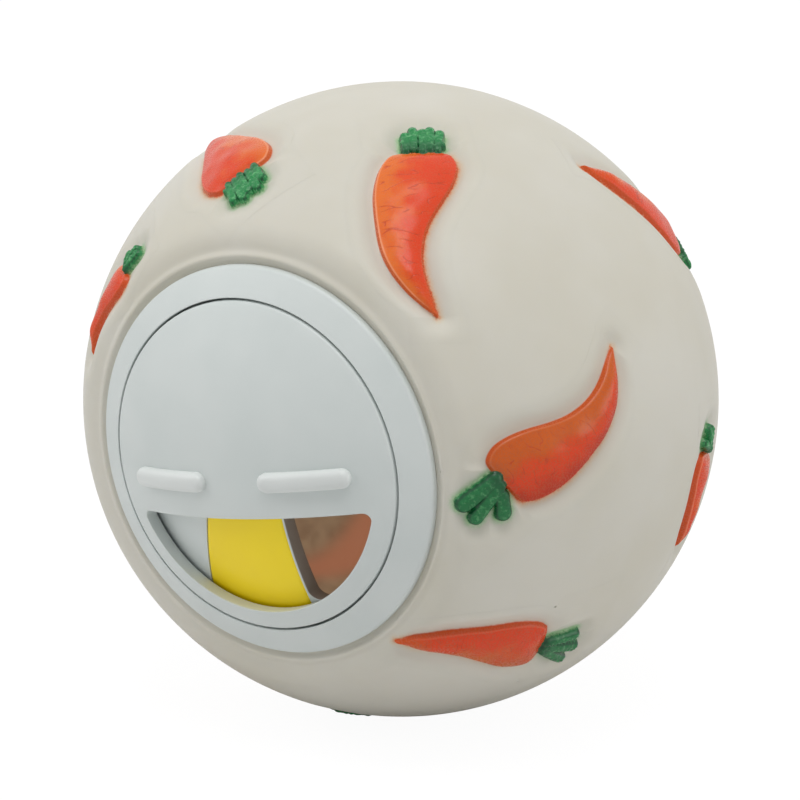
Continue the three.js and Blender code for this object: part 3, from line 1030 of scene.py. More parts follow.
@dataclass(frozen=True)
class Insert:
    """Sizes that the ring, the door and the plate share, in millimetres."""

    ball_radius: float = 35.2
    face_radius: float = 38.5
    flange_width: float = 3.15
    flange_edge: float = 0.8
    seat_margin: float = 3.28
    seat_gap: float = 0.05
    door_radius: float = 18.25
    door_gap: float = 0.25
    door_thickness: float = 1.6
    plate_gap: float = 0.35
    plate_thickness: float = 1.8
    plate_play: float = 0.1
    shoulder_width: float = 0.5
    neck_wall: float = 1.0
    neck_grip: float = 0.1
    neck_tail: float = 2.0
    collar_depth: float = 4.3
    rim_width: float = 1.0
    rim_thickness: float = 2.0
    post_radius: float = 3.0
    post_clearance: float = 0.1
    hub_wall: float = 1.1
    hub_length: float = 1.5
    outlet_margin: float = 0.1
    keys: int = 4
    key_angle: float = -128.7
    key_width: float = 1.5

    @property
    def ring_bore(self) -> float:
        """Radius of the bore that the door turns in."""
        return self.door_radius + self.door_gap

    @property
    def ring_radius(self) -> float:
        """Outer radius of the ring's flange."""
        return self.ring_bore + self.flange_width

    @property
    def seat(self) -> float:
        """Height of the flat seat: where the ball is as wide as the ring and the seat's margin."""
        return math.sqrt(self.ball_radius**2 - (self.ring_radius + self.seat_margin) ** 2)

    @property
    def flange_back(self) -> float:
        """Height of the flange's back."""
        return self.seat + self.seat_gap

    @property
    def face_centre(self) -> float:
        """Height of the centre of the domed face."""
        reach = math.sqrt(self.face_radius**2 - self.ring_radius**2)
        return self.flange_back + self.flange_edge - reach

    @property
    def door_back(self) -> float:
        """Radius of the dome at the door's back."""
        return self.face_radius - self.door_thickness

    @property
    def plate_face(self) -> float:
        """Radius of the dome at the plate's front."""
        return self.door_back - self.plate_gap

    @property
    def plate_back(self) -> float:
        """Radius of the dome at the plate's back."""
        return self.plate_face - self.plate_thickness

    @property
    def neck_bore(self) -> float:
        """Inner radius of the ring's neck."""
        return self.ring_bore + self.shoulder_width

    @property
    def neck_radius(self) -> float:
        """Outer radius of the ring's neck."""
        return self.neck_bore + self.neck_wall

    @property
    def collar_bore(self) -> float:
        """Inner radius of the ball's turned-in collar."""
        return self.neck_radius + self.neck_grip

    @property
    def collar_back(self) -> float:
        """Height of the collar's back edge."""
        return self.seat - self.collar_depth

    @property
    def neck_end(self) -> float:
        """Height of the neck's back edge."""
        return self.collar_back - self.neck_tail

    @property
    def plate_radius(self) -> float:
        """Outer radius of the plate."""
        return self.neck_bore - self.plate_play

    @property
    def shoulder(self) -> float:
        """Height of the step that the plate bears on."""
        return float(self.dome(self.plate_face, self.ring_bore))

    @property
    def rim_front(self) -> float:
        """Height of the front of the plate's rim."""
        return self.shoulder - self.plate_play

    @property
    def rim_back(self) -> float:
        """Height of the back of the plate's rim."""
        return self.rim_front - self.rim_thickness

    @property
    def post_bore(self) -> float:
        """Radius of the hub's bore."""
        return self.post_radius + self.post_clearance

    @property
    def hub_radius(self) -> float:
        """Outer radius of the hub."""
        return self.post_bore + self.hub_wall

    @property
    def hub_back(self) -> float:
        """Height of the hub's back edge."""
        return float(self.dome(self.plate_back, 0)) - self.hub_length

    @property
    def hub_front(self) -> float:
        """Height in the plate's wall where the hub starts."""
        return float(self.dome(self.plate_face, 0)) - self.plate_thickness / 2

    @property
    def outlet_chord(self) -> float:
        """Distance of the outlet's chord from the axis."""
        return self.hub_radius + self.outlet_margin

    @property
    def key_angles(self) -> list[float]:
        """Angles of the keys round the axis, degrees."""
        return [self.key_angle + 360 * number / self.keys for number in range(self.keys)]

    def dome(self, radius: float, distance: Array | float) -> Array:
        """Gives the height of a dome about the face's centre at a distance from the axis."""
        return self.face_centre + np.sqrt(radius**2 - np.asarray(distance) ** 2)

    def lean(self, radius: float, distance: float) -> float:
        """Gives the angle from the axis at which a dome reaches a distance, degrees."""
        return math.degrees(math.asin(distance / radius))


@dataclass(frozen=True)
class Leaf:
    """One thick leaf of a tuft: a bar with round ends, in millimetres for a full-sized carrot.

    Out is the distance from the crown, away from the carrot, and side the distance to the left.
    """

    start_out: float
    start_side: float
    end_out: float
    end_side: float
    radius: float


class Tuft(Enum):
    """The leaves of the three kinds of tuft."""

    BROAD = (
        Leaf(0.1, -1.5, 2.5, -1.3, 0.75), Leaf(0.3, -0.6, 3.5, -0.4, 0.7), Leaf(0.0, 0.3, 3.1, 0.7, 0.75),
        Leaf(0.2, 1.1, 3.5, 1.5, 0.7), Leaf(0.1, 1.9, 2.9, 2.5, 0.7), Leaf(1.3, -1.7, 3.0, 0.3, 0.55),
        Leaf(0.8, 2.6, 2.7, 1.1, 0.5),
    )
    FORKED = (Leaf(0.2, 1.2, 4.4, 1.5, 1.15), Leaf(0.4, 0.2, 4.5, -0.6, 1.0), Leaf(0.9, -0.9, 2.0, -2.4, 1.1))
    FANNED = (Leaf(0.3, 1.2, 4.3, 4.7, 0.95), Leaf(0.3, 0.5, 5.2, 2.4, 1.05), Leaf(0.4, -0.5, 4.4, -0.3, 1.0))

    @property
    def reach(self) -> float:
        """How far out the longest leaf goes."""
        return max(leaf.end_out + leaf.radius for leaf in self.value)

    @property
    def half_width(self) -> float:
        """How far to a side the leaves go."""
        return max(max(abs(leaf.end_side), abs(leaf.start_side)) + leaf.radius for leaf in self.value)


@dataclass(frozen=True)
class Carrot:
    """One moulded carrot: its place, its size in millimetres and how its paint was sprayed.

    Red_lean and mist_lean tell which side is redder and which side has the mist, from -1 for the
    right to 1 for the left, and brown how brown its ground is.
    """

    longitude: float
    latitude: float
    heading: float
    length: float
    bow: float
    half_width: float
    tuft: Tuft
    red_lean: float
    mist_lean: float
    brown: float

    @property
    def place(self) -> Place:
        """The place of its middle."""
        return Place.at(self.longitude, self.latitude, self.heading)

    def middle(self, share: Array) -> Array:
        """Sideways place of its centreline: minus the bow times a sine that peaks at 0.62."""
        return -self.bow * np.sin(np.pi * np.clip(share, 0, 1) ** 1.45)


CARROTS = [
    Carrot(42.3, 50.0, -91, 21.6, 3.3, 4.5, Tuft.BROAD, 0.5, 0.9, 0.1),
    Carrot(65.2, 12.7, 39, 20.3, 3.2, 4.4, Tuft.FORKED, -1.0, -0.9, 0.8),
    Carrot(49.6, -34.2, 171, 17.6, 1.5, 3.95, Tuft.FANNED, -0.4, 0.4, 0.7),
    Carrot(-52.6, 55.8, -170, 19.0, 0.2, 4.5, Tuft.BROAD, 0.5, 0.6, 0.1),
    Carrot(-47.2, 19.8, -101, 11.5, 0.9, 2.4, Tuft.FORKED, 0.4, 0.5, 0.3),
    Carrot(124.2, 42.2, 121, 18.5, -0.8, 3.7, Tuft.BROAD, 0.5, 0.8, 0.2),
    Carrot(106.9, -14.0, -99, 11.5, 0.9, 2.4, Tuft.FORKED, -0.4, 0.8, 0.3),
    Carrot(74.2, -79.5, 18, 17.0, 1.8, 3.7, Tuft.FORKED, 0.4, 0.3, 0.5),
    Carrot(-47.9, -50.7, -72, 17.0, 1.8, 3.7, Tuft.FORKED, -0.6, -0.3, 0.4),
    Carrot(-165.0, 59.5, 19, 18.0, 1.8, 3.9, Tuft.BROAD, 0.4, 0.5, 0.2),
    Carrot(169.0, 12.5, -60, 20.0, 3.2, 4.4, Tuft.FORKED, -0.7, -0.7, 0.7),
    Carrot(-112.0, 29.0, -110, 20.0, 3.2, 4.4, Tuft.BROAD, 0.5, 0.7, 0.1),
    Carrot(-91.0, -17.0, 60, 18.0, 1.8, 3.9, Tuft.FANNED, -0.5, 0.2, 0.5),
    Carrot(-149.0, -6.0, 95, 18.0, 1.8, 3.9, Tuft.BROAD, 0.5, -0.6, 0.3),
    Carrot(155.0, -34.0, 170, 20.0, 3.2, 4.4, Tuft.FORKED, 0.6, 0.8, 0.2),
    Carrot(-128.0, -48.0, -20, 18.0, 1.8, 3.9, Tuft.BROAD, -0.6, -0.4, 0.6),
]


@dataclass(frozen=True)
class Wall:
    """The ball's wall: outside, flat seat with a lip, collar and inside, in millimetres."""

    insert: Insert
    thickness: float = 2.2
    seat_rounding: float = 4.0
    collar_wall: float = 2.2
    collar_rounding: float = 0.5
    groove_radius: float = 0.8
    lip_middle: float = 22.6
    lip_width: float = 0.45
    lip_height: float = 0.4
    outer_steps: int = 168
    inner_steps: int = 44

    def outside(self) -> Array:
        """Draws the outside from the back pole to the mouth.

        The sphere runs into a quarter round, which ends in the flat seat. A lip, a bell curve in
        height, stands round the ring.

        Returns:
            Rows of distance from the axis and height.
        """
        size = self.insert
        height = size.seat - self.seat_rounding
        distance = math.sqrt((size.ball_radius - self.seat_rounding) ** 2 - height**2)
        end = math.degrees(math.atan2(distance, height))
        flat = np.linspace(distance, size.collar_bore + self.collar_rounding, 30)[1:]
        profile = np.concatenate([
            arc((0, 0), size.ball_radius, 180, end, self.outer_steps),
            arc((distance, height), self.seat_rounding, end, 0, 16)[1:],
            np.stack([flat, np.full_like(flat, size.seat)], axis=-1),
        ])
        lip = self.lip_height * bell(profile[:, 0] - self.lip_middle, self.lip_width)
        profile[:, 1] += lip * (profile[:, 1] > 0)
        return profile

    def inside(self) -> Array:
        """Draws the collar, the groove behind it and the inside, from the mouth to the back pole.

        Returns:
            Rows of distance from the axis and height.
        """
        size = self.insert
        inner = size.ball_radius - self.thickness
        collar = size.collar_bore + self.collar_wall
        groove = collar + self.groove_radius
        groove_height = math.sqrt((inner - self.groove_radius) ** 2 - groove**2)
        end = math.degrees(math.atan2(groove, groove_height))
        lip = self.collar_rounding
        return np.concatenate([
            arc((size.collar_bore + lip, size.seat - lip), lip, -15, -90, 4),
            arc((size.collar_bore + lip, size.collar_back + lip), lip, -90, -180, 4),
            arc((collar - lip, size.collar_back + lip), lip, 180, 90, 4),
            arc((groove, groove_height), self.groove_radius, -90, end, 6),
            arc((0, 0), inner, end, 180, self.inner_steps)[1:],
        ])

    def skin_radius(self, unit: Array) -> Array:
        """Gives the outside's distance from the ball's centre in some directions.

        It is read from the outside's profile by the angle from the mouth's axis.

        Args:
            unit: The directions, of length 1.

        Returns:
            The distances.
        """
        profile = self.outside()[::-1]
        angle = np.arctan2(profile[:, 0], profile[:, 1])
        here = np.arccos(np.clip(-unit[..., 1], -1, 1))
        return np.interp(here, angle, np.hypot(profile[:, 0], profile[:, 1]))


@dataclass(frozen=True)
class Relief:
    """What all the hollows, carrots and leaf tufts share, in millimetres.

    Each carrot lies with its tuft in a hollow, whose bottom rises gently to the skin around.
    """

    wall: Wall
    sink: float = 0.75
    swale: float = 1.45
    margin: float = 3.0
    mouth_edge: Span = (43.0, 46.5)
    lift: float = 0.008
    block_depth: float = 0.95
    carrot_height: float = 1.12
    carrot_wall: float = 0.3
    wall_share: float = 0.42
    wall_start: float = -0.04
    taper: tuple[float, ...] = (0.76, 0.97, 1.0, 0.925, 0.785, 0.65, 0.55, 0.46, 0.365, 0.24, 0.03)
    tip_fade: float = 0.6
    tip_run: Span = (0.75, 1.0)
    side_slope: float = 0.95
    crown_sag: float = 0.05
    corner_sharpness: float = 3.2
    leaf_root: float = 0.82
    tuft_lap: float = 2.5
    least_half_width: float = 0.35
    edge_strip: float = 0.15
    lump: float = 0.05
    side_limit: float = 1.3
    leaf_height: float = 1.0
    leaf_wall: float = 0.35
    leaf_edge: float = 0.25
    ruffle: float = 0.07
    ruffle_run: Span = (0.1, 0.5)
    crease_run: Span = (0.1, 0.55)
    crease_start: float = 0.12
    crown_run: float = 1.2
    mist_run: Span = (-0.9, 0.9)
    mist_tip: float = 1.2
    mist_tip_run: Span = (0.85, 1.02)
    full_half_width: float = 4.4
    rows: int = 214
    inner_columns: int = 38
    inner_line: float = 0.45
    outer_columns: int = 20
    outer_line: float = 0.35

    def half_width(self, carrot: Carrot, share: Array) -> Array:
        """Gives the half width along a carrot: a smooth curve through the taper's shares.

        Args:
            carrot: The carrot.
            share: Shares of its length, from crown to tip.

        Returns:
            The half widths.
        """
        stations = np.linspace(0, 1, len(self.taper))
        values, slope = np.array(self.taper), np.gradient(self.taper, stations)
        share = np.clip(share, 0, 1)
        left = np.minimum((share * (len(stations) - 1)).astype(int), len(stations) - 2)
        t = (share - stations[left]) / stations[1]
        curve = (
            values[left] * (2 * t**3 - 3 * t**2 + 1)
            + values[left + 1] * (3 * t**2 - 2 * t**3)
            + stations[1] * slope[left] * (t**3 - 2 * t**2 + t)
            + stations[1] * slope[left + 1] * (t**3 - t**2)
        )
        return carrot.half_width * curve

    def carrot_inset(self, carrot: Carrot, along: Array, across: Array) -> Array:
        """Gives the distance in from a carrot's outline, less than nothing outside.

        It is the smaller of the distances from the sides and from the cut at the crown, taken as
        the logarithm of a sum of exponentials, which rounds the crown's corners. The cut sags with
        the square of the distance from its middle. Past the tip it is the distance from the tip.

        Args:
            carrot: The carrot.
            along: Distances along its heading from its middle.
            across: Distances to the left.

        Returns:
            The distances.
        """
        share = along / carrot.length + 0.5
        offset = np.abs(across - carrot.middle(share))
        side = (self.half_width(carrot, share) - offset) * self.side_slope
        sag = self.crown_sag * offset**2 / carrot.half_width
        crown = along + carrot.length / 2 - sag
        beyond = np.maximum(along - carrot.length / 2, 0)
        sharp = self.corner_sharpness
        inset = -np.logaddexp(-sharp * side, -sharp * crown) / sharp
        return np.where(beyond > 0, -np.hypot(beyond, np.maximum(-side, 0)), inset)

    def tuft_inset(self, carrot: Carrot, along: Array, across: Array) -> tuple[Array, Array]:
        """Measures points by a carrot's tuft.

        The distance in from a leaf is its radius less the distance from its middle line. The radius
        grows evenly from the leaf's root to its end.

        Args:
            carrot: The carrot.
            along: Distances along its heading from its middle.
            across: Distances to the left.

        Returns:
            Distance in from the tuft's outline, and from 0 at a leaf's edge to 1 on its middle line.
        """
        scale = carrot.half_width / self.full_half_width
        out, side = -(along + carrot.length / 2) / scale, across / scale
        inset, share = np.full_like(out, -np.inf), np.zeros_like(out)
        for leaf in carrot.tuft.value:
            run_out, run_side = leaf.end_out - leaf.start_out, leaf.end_side - leaf.start_side
            part = (out - leaf.start_out) * run_out + (side - leaf.start_side) * run_side
            part = np.clip(part / (run_out**2 + run_side**2), 0, 1)
            away = np.hypot(
                out - leaf.start_out - part * run_out, side - leaf.start_side - part * run_side)
            radius = leaf.radius * (self.leaf_root + (1 - self.leaf_root) * part)
            inset = np.maximum(inset, radius - away)
            share = np.maximum(share, 1 - away / radius)
        return inset * scale, np.clip(share, 0, 1)

    def hollow(self, unit: Array) -> Array:
        """Gives how deep the hollows are in some directions.

        The depth is a bell curve of the distance from the nearest outline, and fades at the mouth.

        Args:
            unit: The directions, of length 1.

        Returns:
            The depths.
        """
        radius = self.wall.insert.ball_radius
        gap = np.full(unit.shape[:-1], np.inf)
        for carrot in CARROTS:
            along, across = carrot.place.measure(unit * radius, radius)
            near = np.hypot(along, across) < carrot.length
            along, across = along[near], across[near]
            inset = np.maximum(
                self.carrot_inset(carrot, along, across), self.tuft_inset(carrot, along, across)[0])
            gap[near] = np.minimum(gap[near], np.maximum(-inset, 0))
        from_mouth = np.degrees(np.arccos(np.clip(-unit[..., 1], -1, 1)))
        return self.sink * bell(gap, self.swale) * smooth(*self.mouth_edge, from_mouth)

    def envelope(self, carrot: Carrot, along: Array) -> tuple[Array, Array]:
        """Gives a block's centreline, and the half width of what is raised.

        Args:
            carrot: The carrot.
            along: Distances along its heading.

        Returns:
            The two distances.
        """
        scale = carrot.half_width / self.full_half_width
        start = -carrot.length / 2
        share = along / carrot.length + 0.5
        tuft = np.interp(
            along, [start, start + self.tuft_lap], [scale * carrot.tuft.half_width, self.least_half_width])
        raised = np.maximum(tuft, self.half_width(carrot, share) * (share < 1))
        return carrot.middle(share), raised

    def ends(self, carrot: Carrot) -> Span:
        """Gives the distances along at which a block starts and ends."""
        reach = carrot.tuft.reach * carrot.half_width / self.full_half_width
        return -carrot.length / 2 - reach - self.margin, carrot.length / 2 + self.margin

    def covers(self, carrot: Carrot, points: Array) -> Array:
        """Gives how far points lie within a carrot's block, less than nothing outside.

        Args:
            carrot: The carrot.
            points: Points about the ball's centre.

        Returns:
            The distances.
        """
        along, across = carrot.place.measure(points, self.wall.insert.ball_radius)
        start, end = self.ends(carrot)
        middle, raised = self.envelope(carrot, along)
        beside = raised + self.margin - np.abs(across - middle)
        return np.min([beside, along - start, end - along], axis=0)

    def spread(self, carrot: Carrot) -> tuple[Array, Array, Array]:
        """Spreads a grid over a carrot's block: rows along it, closer columns near its sides.

        The inner columns follow a mix of a sine and a line, the outer ones of a line and a square.

        Args:
            carrot: The carrot.

        Returns:
            Distances along, distances across and offsets from the centreline.
        """
        line = np.linspace(*self.ends(carrot), self.rows)
        middle, raised = self.envelope(carrot, line)
        inner = np.linspace(0, 1, self.inner_columns + 1)
        inner = (1 - self.inner_line) * np.sin(np.pi * inner / 2) + self.inner_line * inner
        outer = np.linspace(0, 1, self.outer_columns + 1)[1:]
        outer = self.outer_line * outer + (1 - self.outer_line) * outer**2
        near = (raised + self.edge_strip)[:, None]
        reach = np.concatenate([near * inner, near + (self.margin - self.edge_strip) * outer], axis=1)
        offset = np.concatenate([-reach[:, :0:-1], reach], axis=1)
        return line[:, None] + 0 * offset, middle[:, None] + offset, offset

    def body(self, carrot: Carrot, along: Array) -> tuple[Array, Array]:
        """Gives shares of a carrot's length, and its half widths there, never under its wall's."""
        share = along / carrot.length + 0.5
        return share, np.maximum(self.half_width(carrot, share), self.carrot_wall)

    def rise(self, carrot: Carrot, along: Array, across: Array, offset: Array) -> tuple[Array, Array]:
        """Gives how far a carrot and its tuft rise over the hollow's bottom.

        A carrot has a low steep wall and a crown that falls with the square of the distance from
        its middle, with a lump that is a product of two long sines. A leaf has a low wall and a
        round top. Its ruffles are a product of two short sines, each bent by another sine.

        Args:
            carrot: The carrot.
            along: Distances along its heading.
            across: Distances to the left.
            offset: Distances from the centreline.

        Returns:
            The rise, and how deep between two leaves a point lies, from 0 to 1.
        """
        orange = self.carrot_inset(carrot, along, across)
        green, share = self.tuft_inset(carrot, along, across)
        part, width = self.body(carrot, along)
        inset = np.clip(orange, 0, None)
        dome = 1 - (1 - np.clip(inset / width, 0, 1)) ** 2
        root = smooth(0, self.crown_run, along + carrot.length / 2)
        wall = smooth(self.wall_start, self.carrot_wall, inset)
        top = self.wall_share * wall + (1 - self.wall_share) * dome * root
        lump = self.lump * np.sin(along * 1.7 + carrot.longitude) * np.sin(offset * 1.1 + 1.3)
        full = self.carrot_height * (1 - self.tip_fade * smooth(*self.tip_run, part))
        body = (orange > 0) * top * (full + lump)
        bent_along = np.sin(along * 7.3 + 2 * np.sin(across * 2.9))
        bent_across = np.sin(across * 5.9 + 2 * np.sin(along * 2.3))
        ruffles = bent_along * bent_across
        round_top = np.sqrt(1 - (1 - share) ** 2)
        edge = smooth(self.wall_start, self.leaf_edge, green)
        tuft = (1 - self.leaf_wall) * round_top + self.leaf_wall * edge
        rough = self.ruffle * ruffles * smooth(*self.ruffle_run, green)
        tuft = (green > 0) * (tuft * self.leaf_height + rough)
        crease = (1 - smooth(*self.crease_run, share)) * (green > self.crease_start)
        return np.maximum(body, tuft), crease

    def block(self, carrot: Carrot) -> tuple[Block, dict[str, Array]]:
        """Makes one carrot and its tuft in their hollow, as a closed block let into the wall.

        The top is a grid. A wall goes down from its rim, and strips from side to side close the
        bottom. Each carrot's run starts elsewhere, so that no two have the same grooves.

        Args:
            carrot: The carrot.

        Returns:
            The block and the values of its paints.
        """
        along, across, offset = self.spread(carrot)
        radius = self.wall.insert.ball_radius
        unit = carrot.place.over(1.0, along / radius, across / radius, 0 * along)
        skin = self.wall.skin_radius(unit)
        lifted, crease = self.rise(carrot, along, across, offset)
        height = self.lift - self.hollow(unit) + lifted
        top = unit * (skin + height)[..., None]
        low = unit * (skin - self.block_depth)[..., None]
        rows, columns = height.shape
        number = np.arange(rows * columns).reshape(rows, columns)
        rim = np.concatenate([number[0, :-1], number[:-1, -1], number[-1, :0:-1], number[:0:-1, 0]])
        points = np.concatenate([top.reshape(-1, 3), low.reshape(-1, 3)[rim]])
        base = rows * columns + np.arange(len(rim))
        after = np.roll(np.arange(len(rim)), -1)
        walls = np.stack([rim, rim[after], base[after], base], axis=-1)
        left = np.concatenate([base[[0]], base[::-1][:rows - 1]])
        right = base[columns - 1:columns - 1 + rows]
        ladder = np.stack([left[:-1], right[:-1], right[1:], left[1:]], axis=-1)
        first, last = base[:columns], base[columns + rows - 2:2 * columns + rows - 2]
        caps = [first[None, ::-1], last[None, ::-1]]
        part, width = self.body(carrot, along)
        side = np.clip(offset / width, -self.side_limit, self.side_limit)
        mist = side * carrot.mist_lean + self.mist_tip * smooth(*self.mist_tip_run, part)
        paints = {
            "edge_orange": self.carrot_inset(carrot, along, across),
            "edge_green": self.tuft_inset(carrot, along, across)[0],
            "share": part,
            "run": along + 3 * carrot.longitude,
            "across": offset,
            "red": side * carrot.red_lean,
            "mist": smooth(*self.mist_run, mist),
            "crease": crease,
            "brown": 0 * offset + carrot.brown,
        }
        filled = {
            name: np.concatenate([value.ravel(), value.ravel()[rim]]) for name, value in paints.items()}
        return (points, [grid(rows, columns), walls, ladder, *caps]), filled


@dataclass(frozen=True)
class SoftBall:
    """The soft ball: its wall, and the blocks of relief that are let into it."""

    insert: Insert
    columns: int = 384
    sunk: float = 1.25
    cover: float = 0.9
    # Reach of the painted orange glow under the carrots on the wall's inside.
    stain_and_glow_reach: float = 2.2
    blocks_a_piece: int = 3

    def build(self) -> None:
        """Makes the wall and the reliefs."""
        relief = Relief(Wall(self.insert))
        self.build_wall(relief)
        self.build_reliefs(relief)

    def build_wall(self, relief: Relief) -> None:
        """Makes the ball's wall. Under the blocks of relief its outside is sunk out of their way.

        Args:
            relief: The reliefs' sizes, with the wall's.
        """
        outside = relief.wall.outside()
        points, faces = revolve_poles(np.concatenate([outside, relief.wall.inside()]), self.columns)
        outer = np.zeros(len(points), bool)
        outer[:(len(outside) - 1) * self.columns] = True
        outer[-2] = True
        distance = np.linalg.norm(points, axis=1, keepdims=True)
        covered = np.max([relief.covers(carrot, points) for carrot in CARROTS], axis=0)
        drop = relief.hollow(points / distance) + self.sunk * (covered > self.cover)
        points = points * (distance - (drop * outer)[:, None]) / distance
        # Marks the inside under each carrot for a painted orange glow.
        stain = np.zeros(len(points))
        for carrot in CARROTS:
            along, across = carrot.place.measure(points, self.insert.ball_radius)
            inset = relief.carrot_inset(carrot, along, across)
            stain = np.maximum(stain, smooth(-self.stain_and_glow_reach, self.stain_and_glow_reach, inset))
        surface = Surface()
        surface.add((points, faces), stain=stain * ~outer, inner=~outer * 1.0)
        material = SkinFinish().wall_material()
        surface.build("ball_wall", Body.BALL, Slot.VINYL, material, replaces="vinyl_shell")

    def build_reliefs(self, relief: Relief) -> None:
        """Makes the reliefs, a few carrots to a piece.

        Args:
            relief: The reliefs' sizes.
        """
        material = SkinFinish().relief_material()
        for start in range(0, len(CARROTS), self.blocks_a_piece):
            surface = Surface()
            for carrot in CARROTS[start:start + self.blocks_a_piece]:
                block, paints = relief.block(carrot)
                surface.add(block, **paints)
            name = f"carrots_{start // self.blocks_a_piece + 1}"
            surface.build(name, Body.BALL, Slot.VINYL, material, crease=70)


@dataclass(frozen=True)
class Ring:
    """The ring: flange, bore, step, bead, keys and slotted snap neck."""

    insert: Insert
    barb_height: float = 0.9
    barb_length: float = 1.4
    barb_land: float = 0.4
    slots: int = 6
    slot_width: float = 1.6
    slot_depth: float = 3.2
    bead_height: float = 0.3
    bead_length: float = 0.7
    key_height: float = 0.7
    overlap: float = 0.2
    outer_rounding: float = 0.35
    bore_rounding: float = 0.16
    columns: int = 320

    def build(self, material: bpy.types.Material) -> None:
        """Makes the ring.

        Args:
            material: Its finish.
        """
        size = self.insert
        split = size.neck_end + self.slot_depth
        face = arc(
            (0, size.face_centre), size.face_radius,
            size.lean(size.face_radius, size.ring_bore + self.bore_rounding),
            size.lean(size.face_radius, size.ring_radius - self.outer_rounding), 10)
        bead = size.rim_back - size.plate_play
        edge = float(size.dome(size.face_radius, size.ring_radius))
        mouth = float(size.dome(size.face_radius, size.ring_bore))
        corners = [(distance, height, 0.0) for distance, height in face]
        corners += [
            (size.ring_radius, edge, self.outer_rounding),
            (size.ring_radius, size.flange_back, 0.1),
            (size.neck_radius, size.flange_back, 0.1),
            (size.neck_radius, split, 0.0),
            (size.neck_bore, split, 0.0),
            (size.neck_bore, bead - self.bead_length, 0.0),
            (size.neck_bore - self.bead_height, bead - self.bead_length / 2, 0.12),
            (size.neck_bore, bead, 0.0),
            (size.neck_bore, size.shoulder, 0.05),
            (size.ring_bore, size.shoulder, 0.08),
            (size.ring_bore, mouth, self.bore_rounding),
        ]
        surface = Surface()
        surface.add(revolve(rounded(corners), self.columns))
        barb = size.collar_back - size.neck_grip
        tooth = rounded([
            (size.neck_bore, split + self.overlap, 0),
            (size.neck_bore, size.neck_end, 0.2),
            (size.neck_radius, size.neck_end, 0.2),
            (size.neck_radius, barb - self.barb_length, 0.1),
            (size.neck_radius + self.barb_height, barb - self.barb_land, 0.12),
            (size.neck_radius + self.barb_height, barb, 0.12),
            (size.neck_radius, barb, 0.1),
            (size.neck_radius, split + self.overlap, 0),
        ])
        spread = 360 / self.slots
        for number in range(self.slots):
            surface.add(claw(tooth, number * spread, spread, self.slot_width, 40))
        for angle in size.key_angles:
            sizes = (size.neck_bore - self.key_height, size.neck_bore + size.neck_wall / 2,
                     size.key_width, size.rim_back, size.shoulder + size.plate_play)
            surface.add(bar(angle, sizes, 0.12))
        surface.build("ring", Body.BALL, Slot.GREY, material, replaces="bezel_ring")


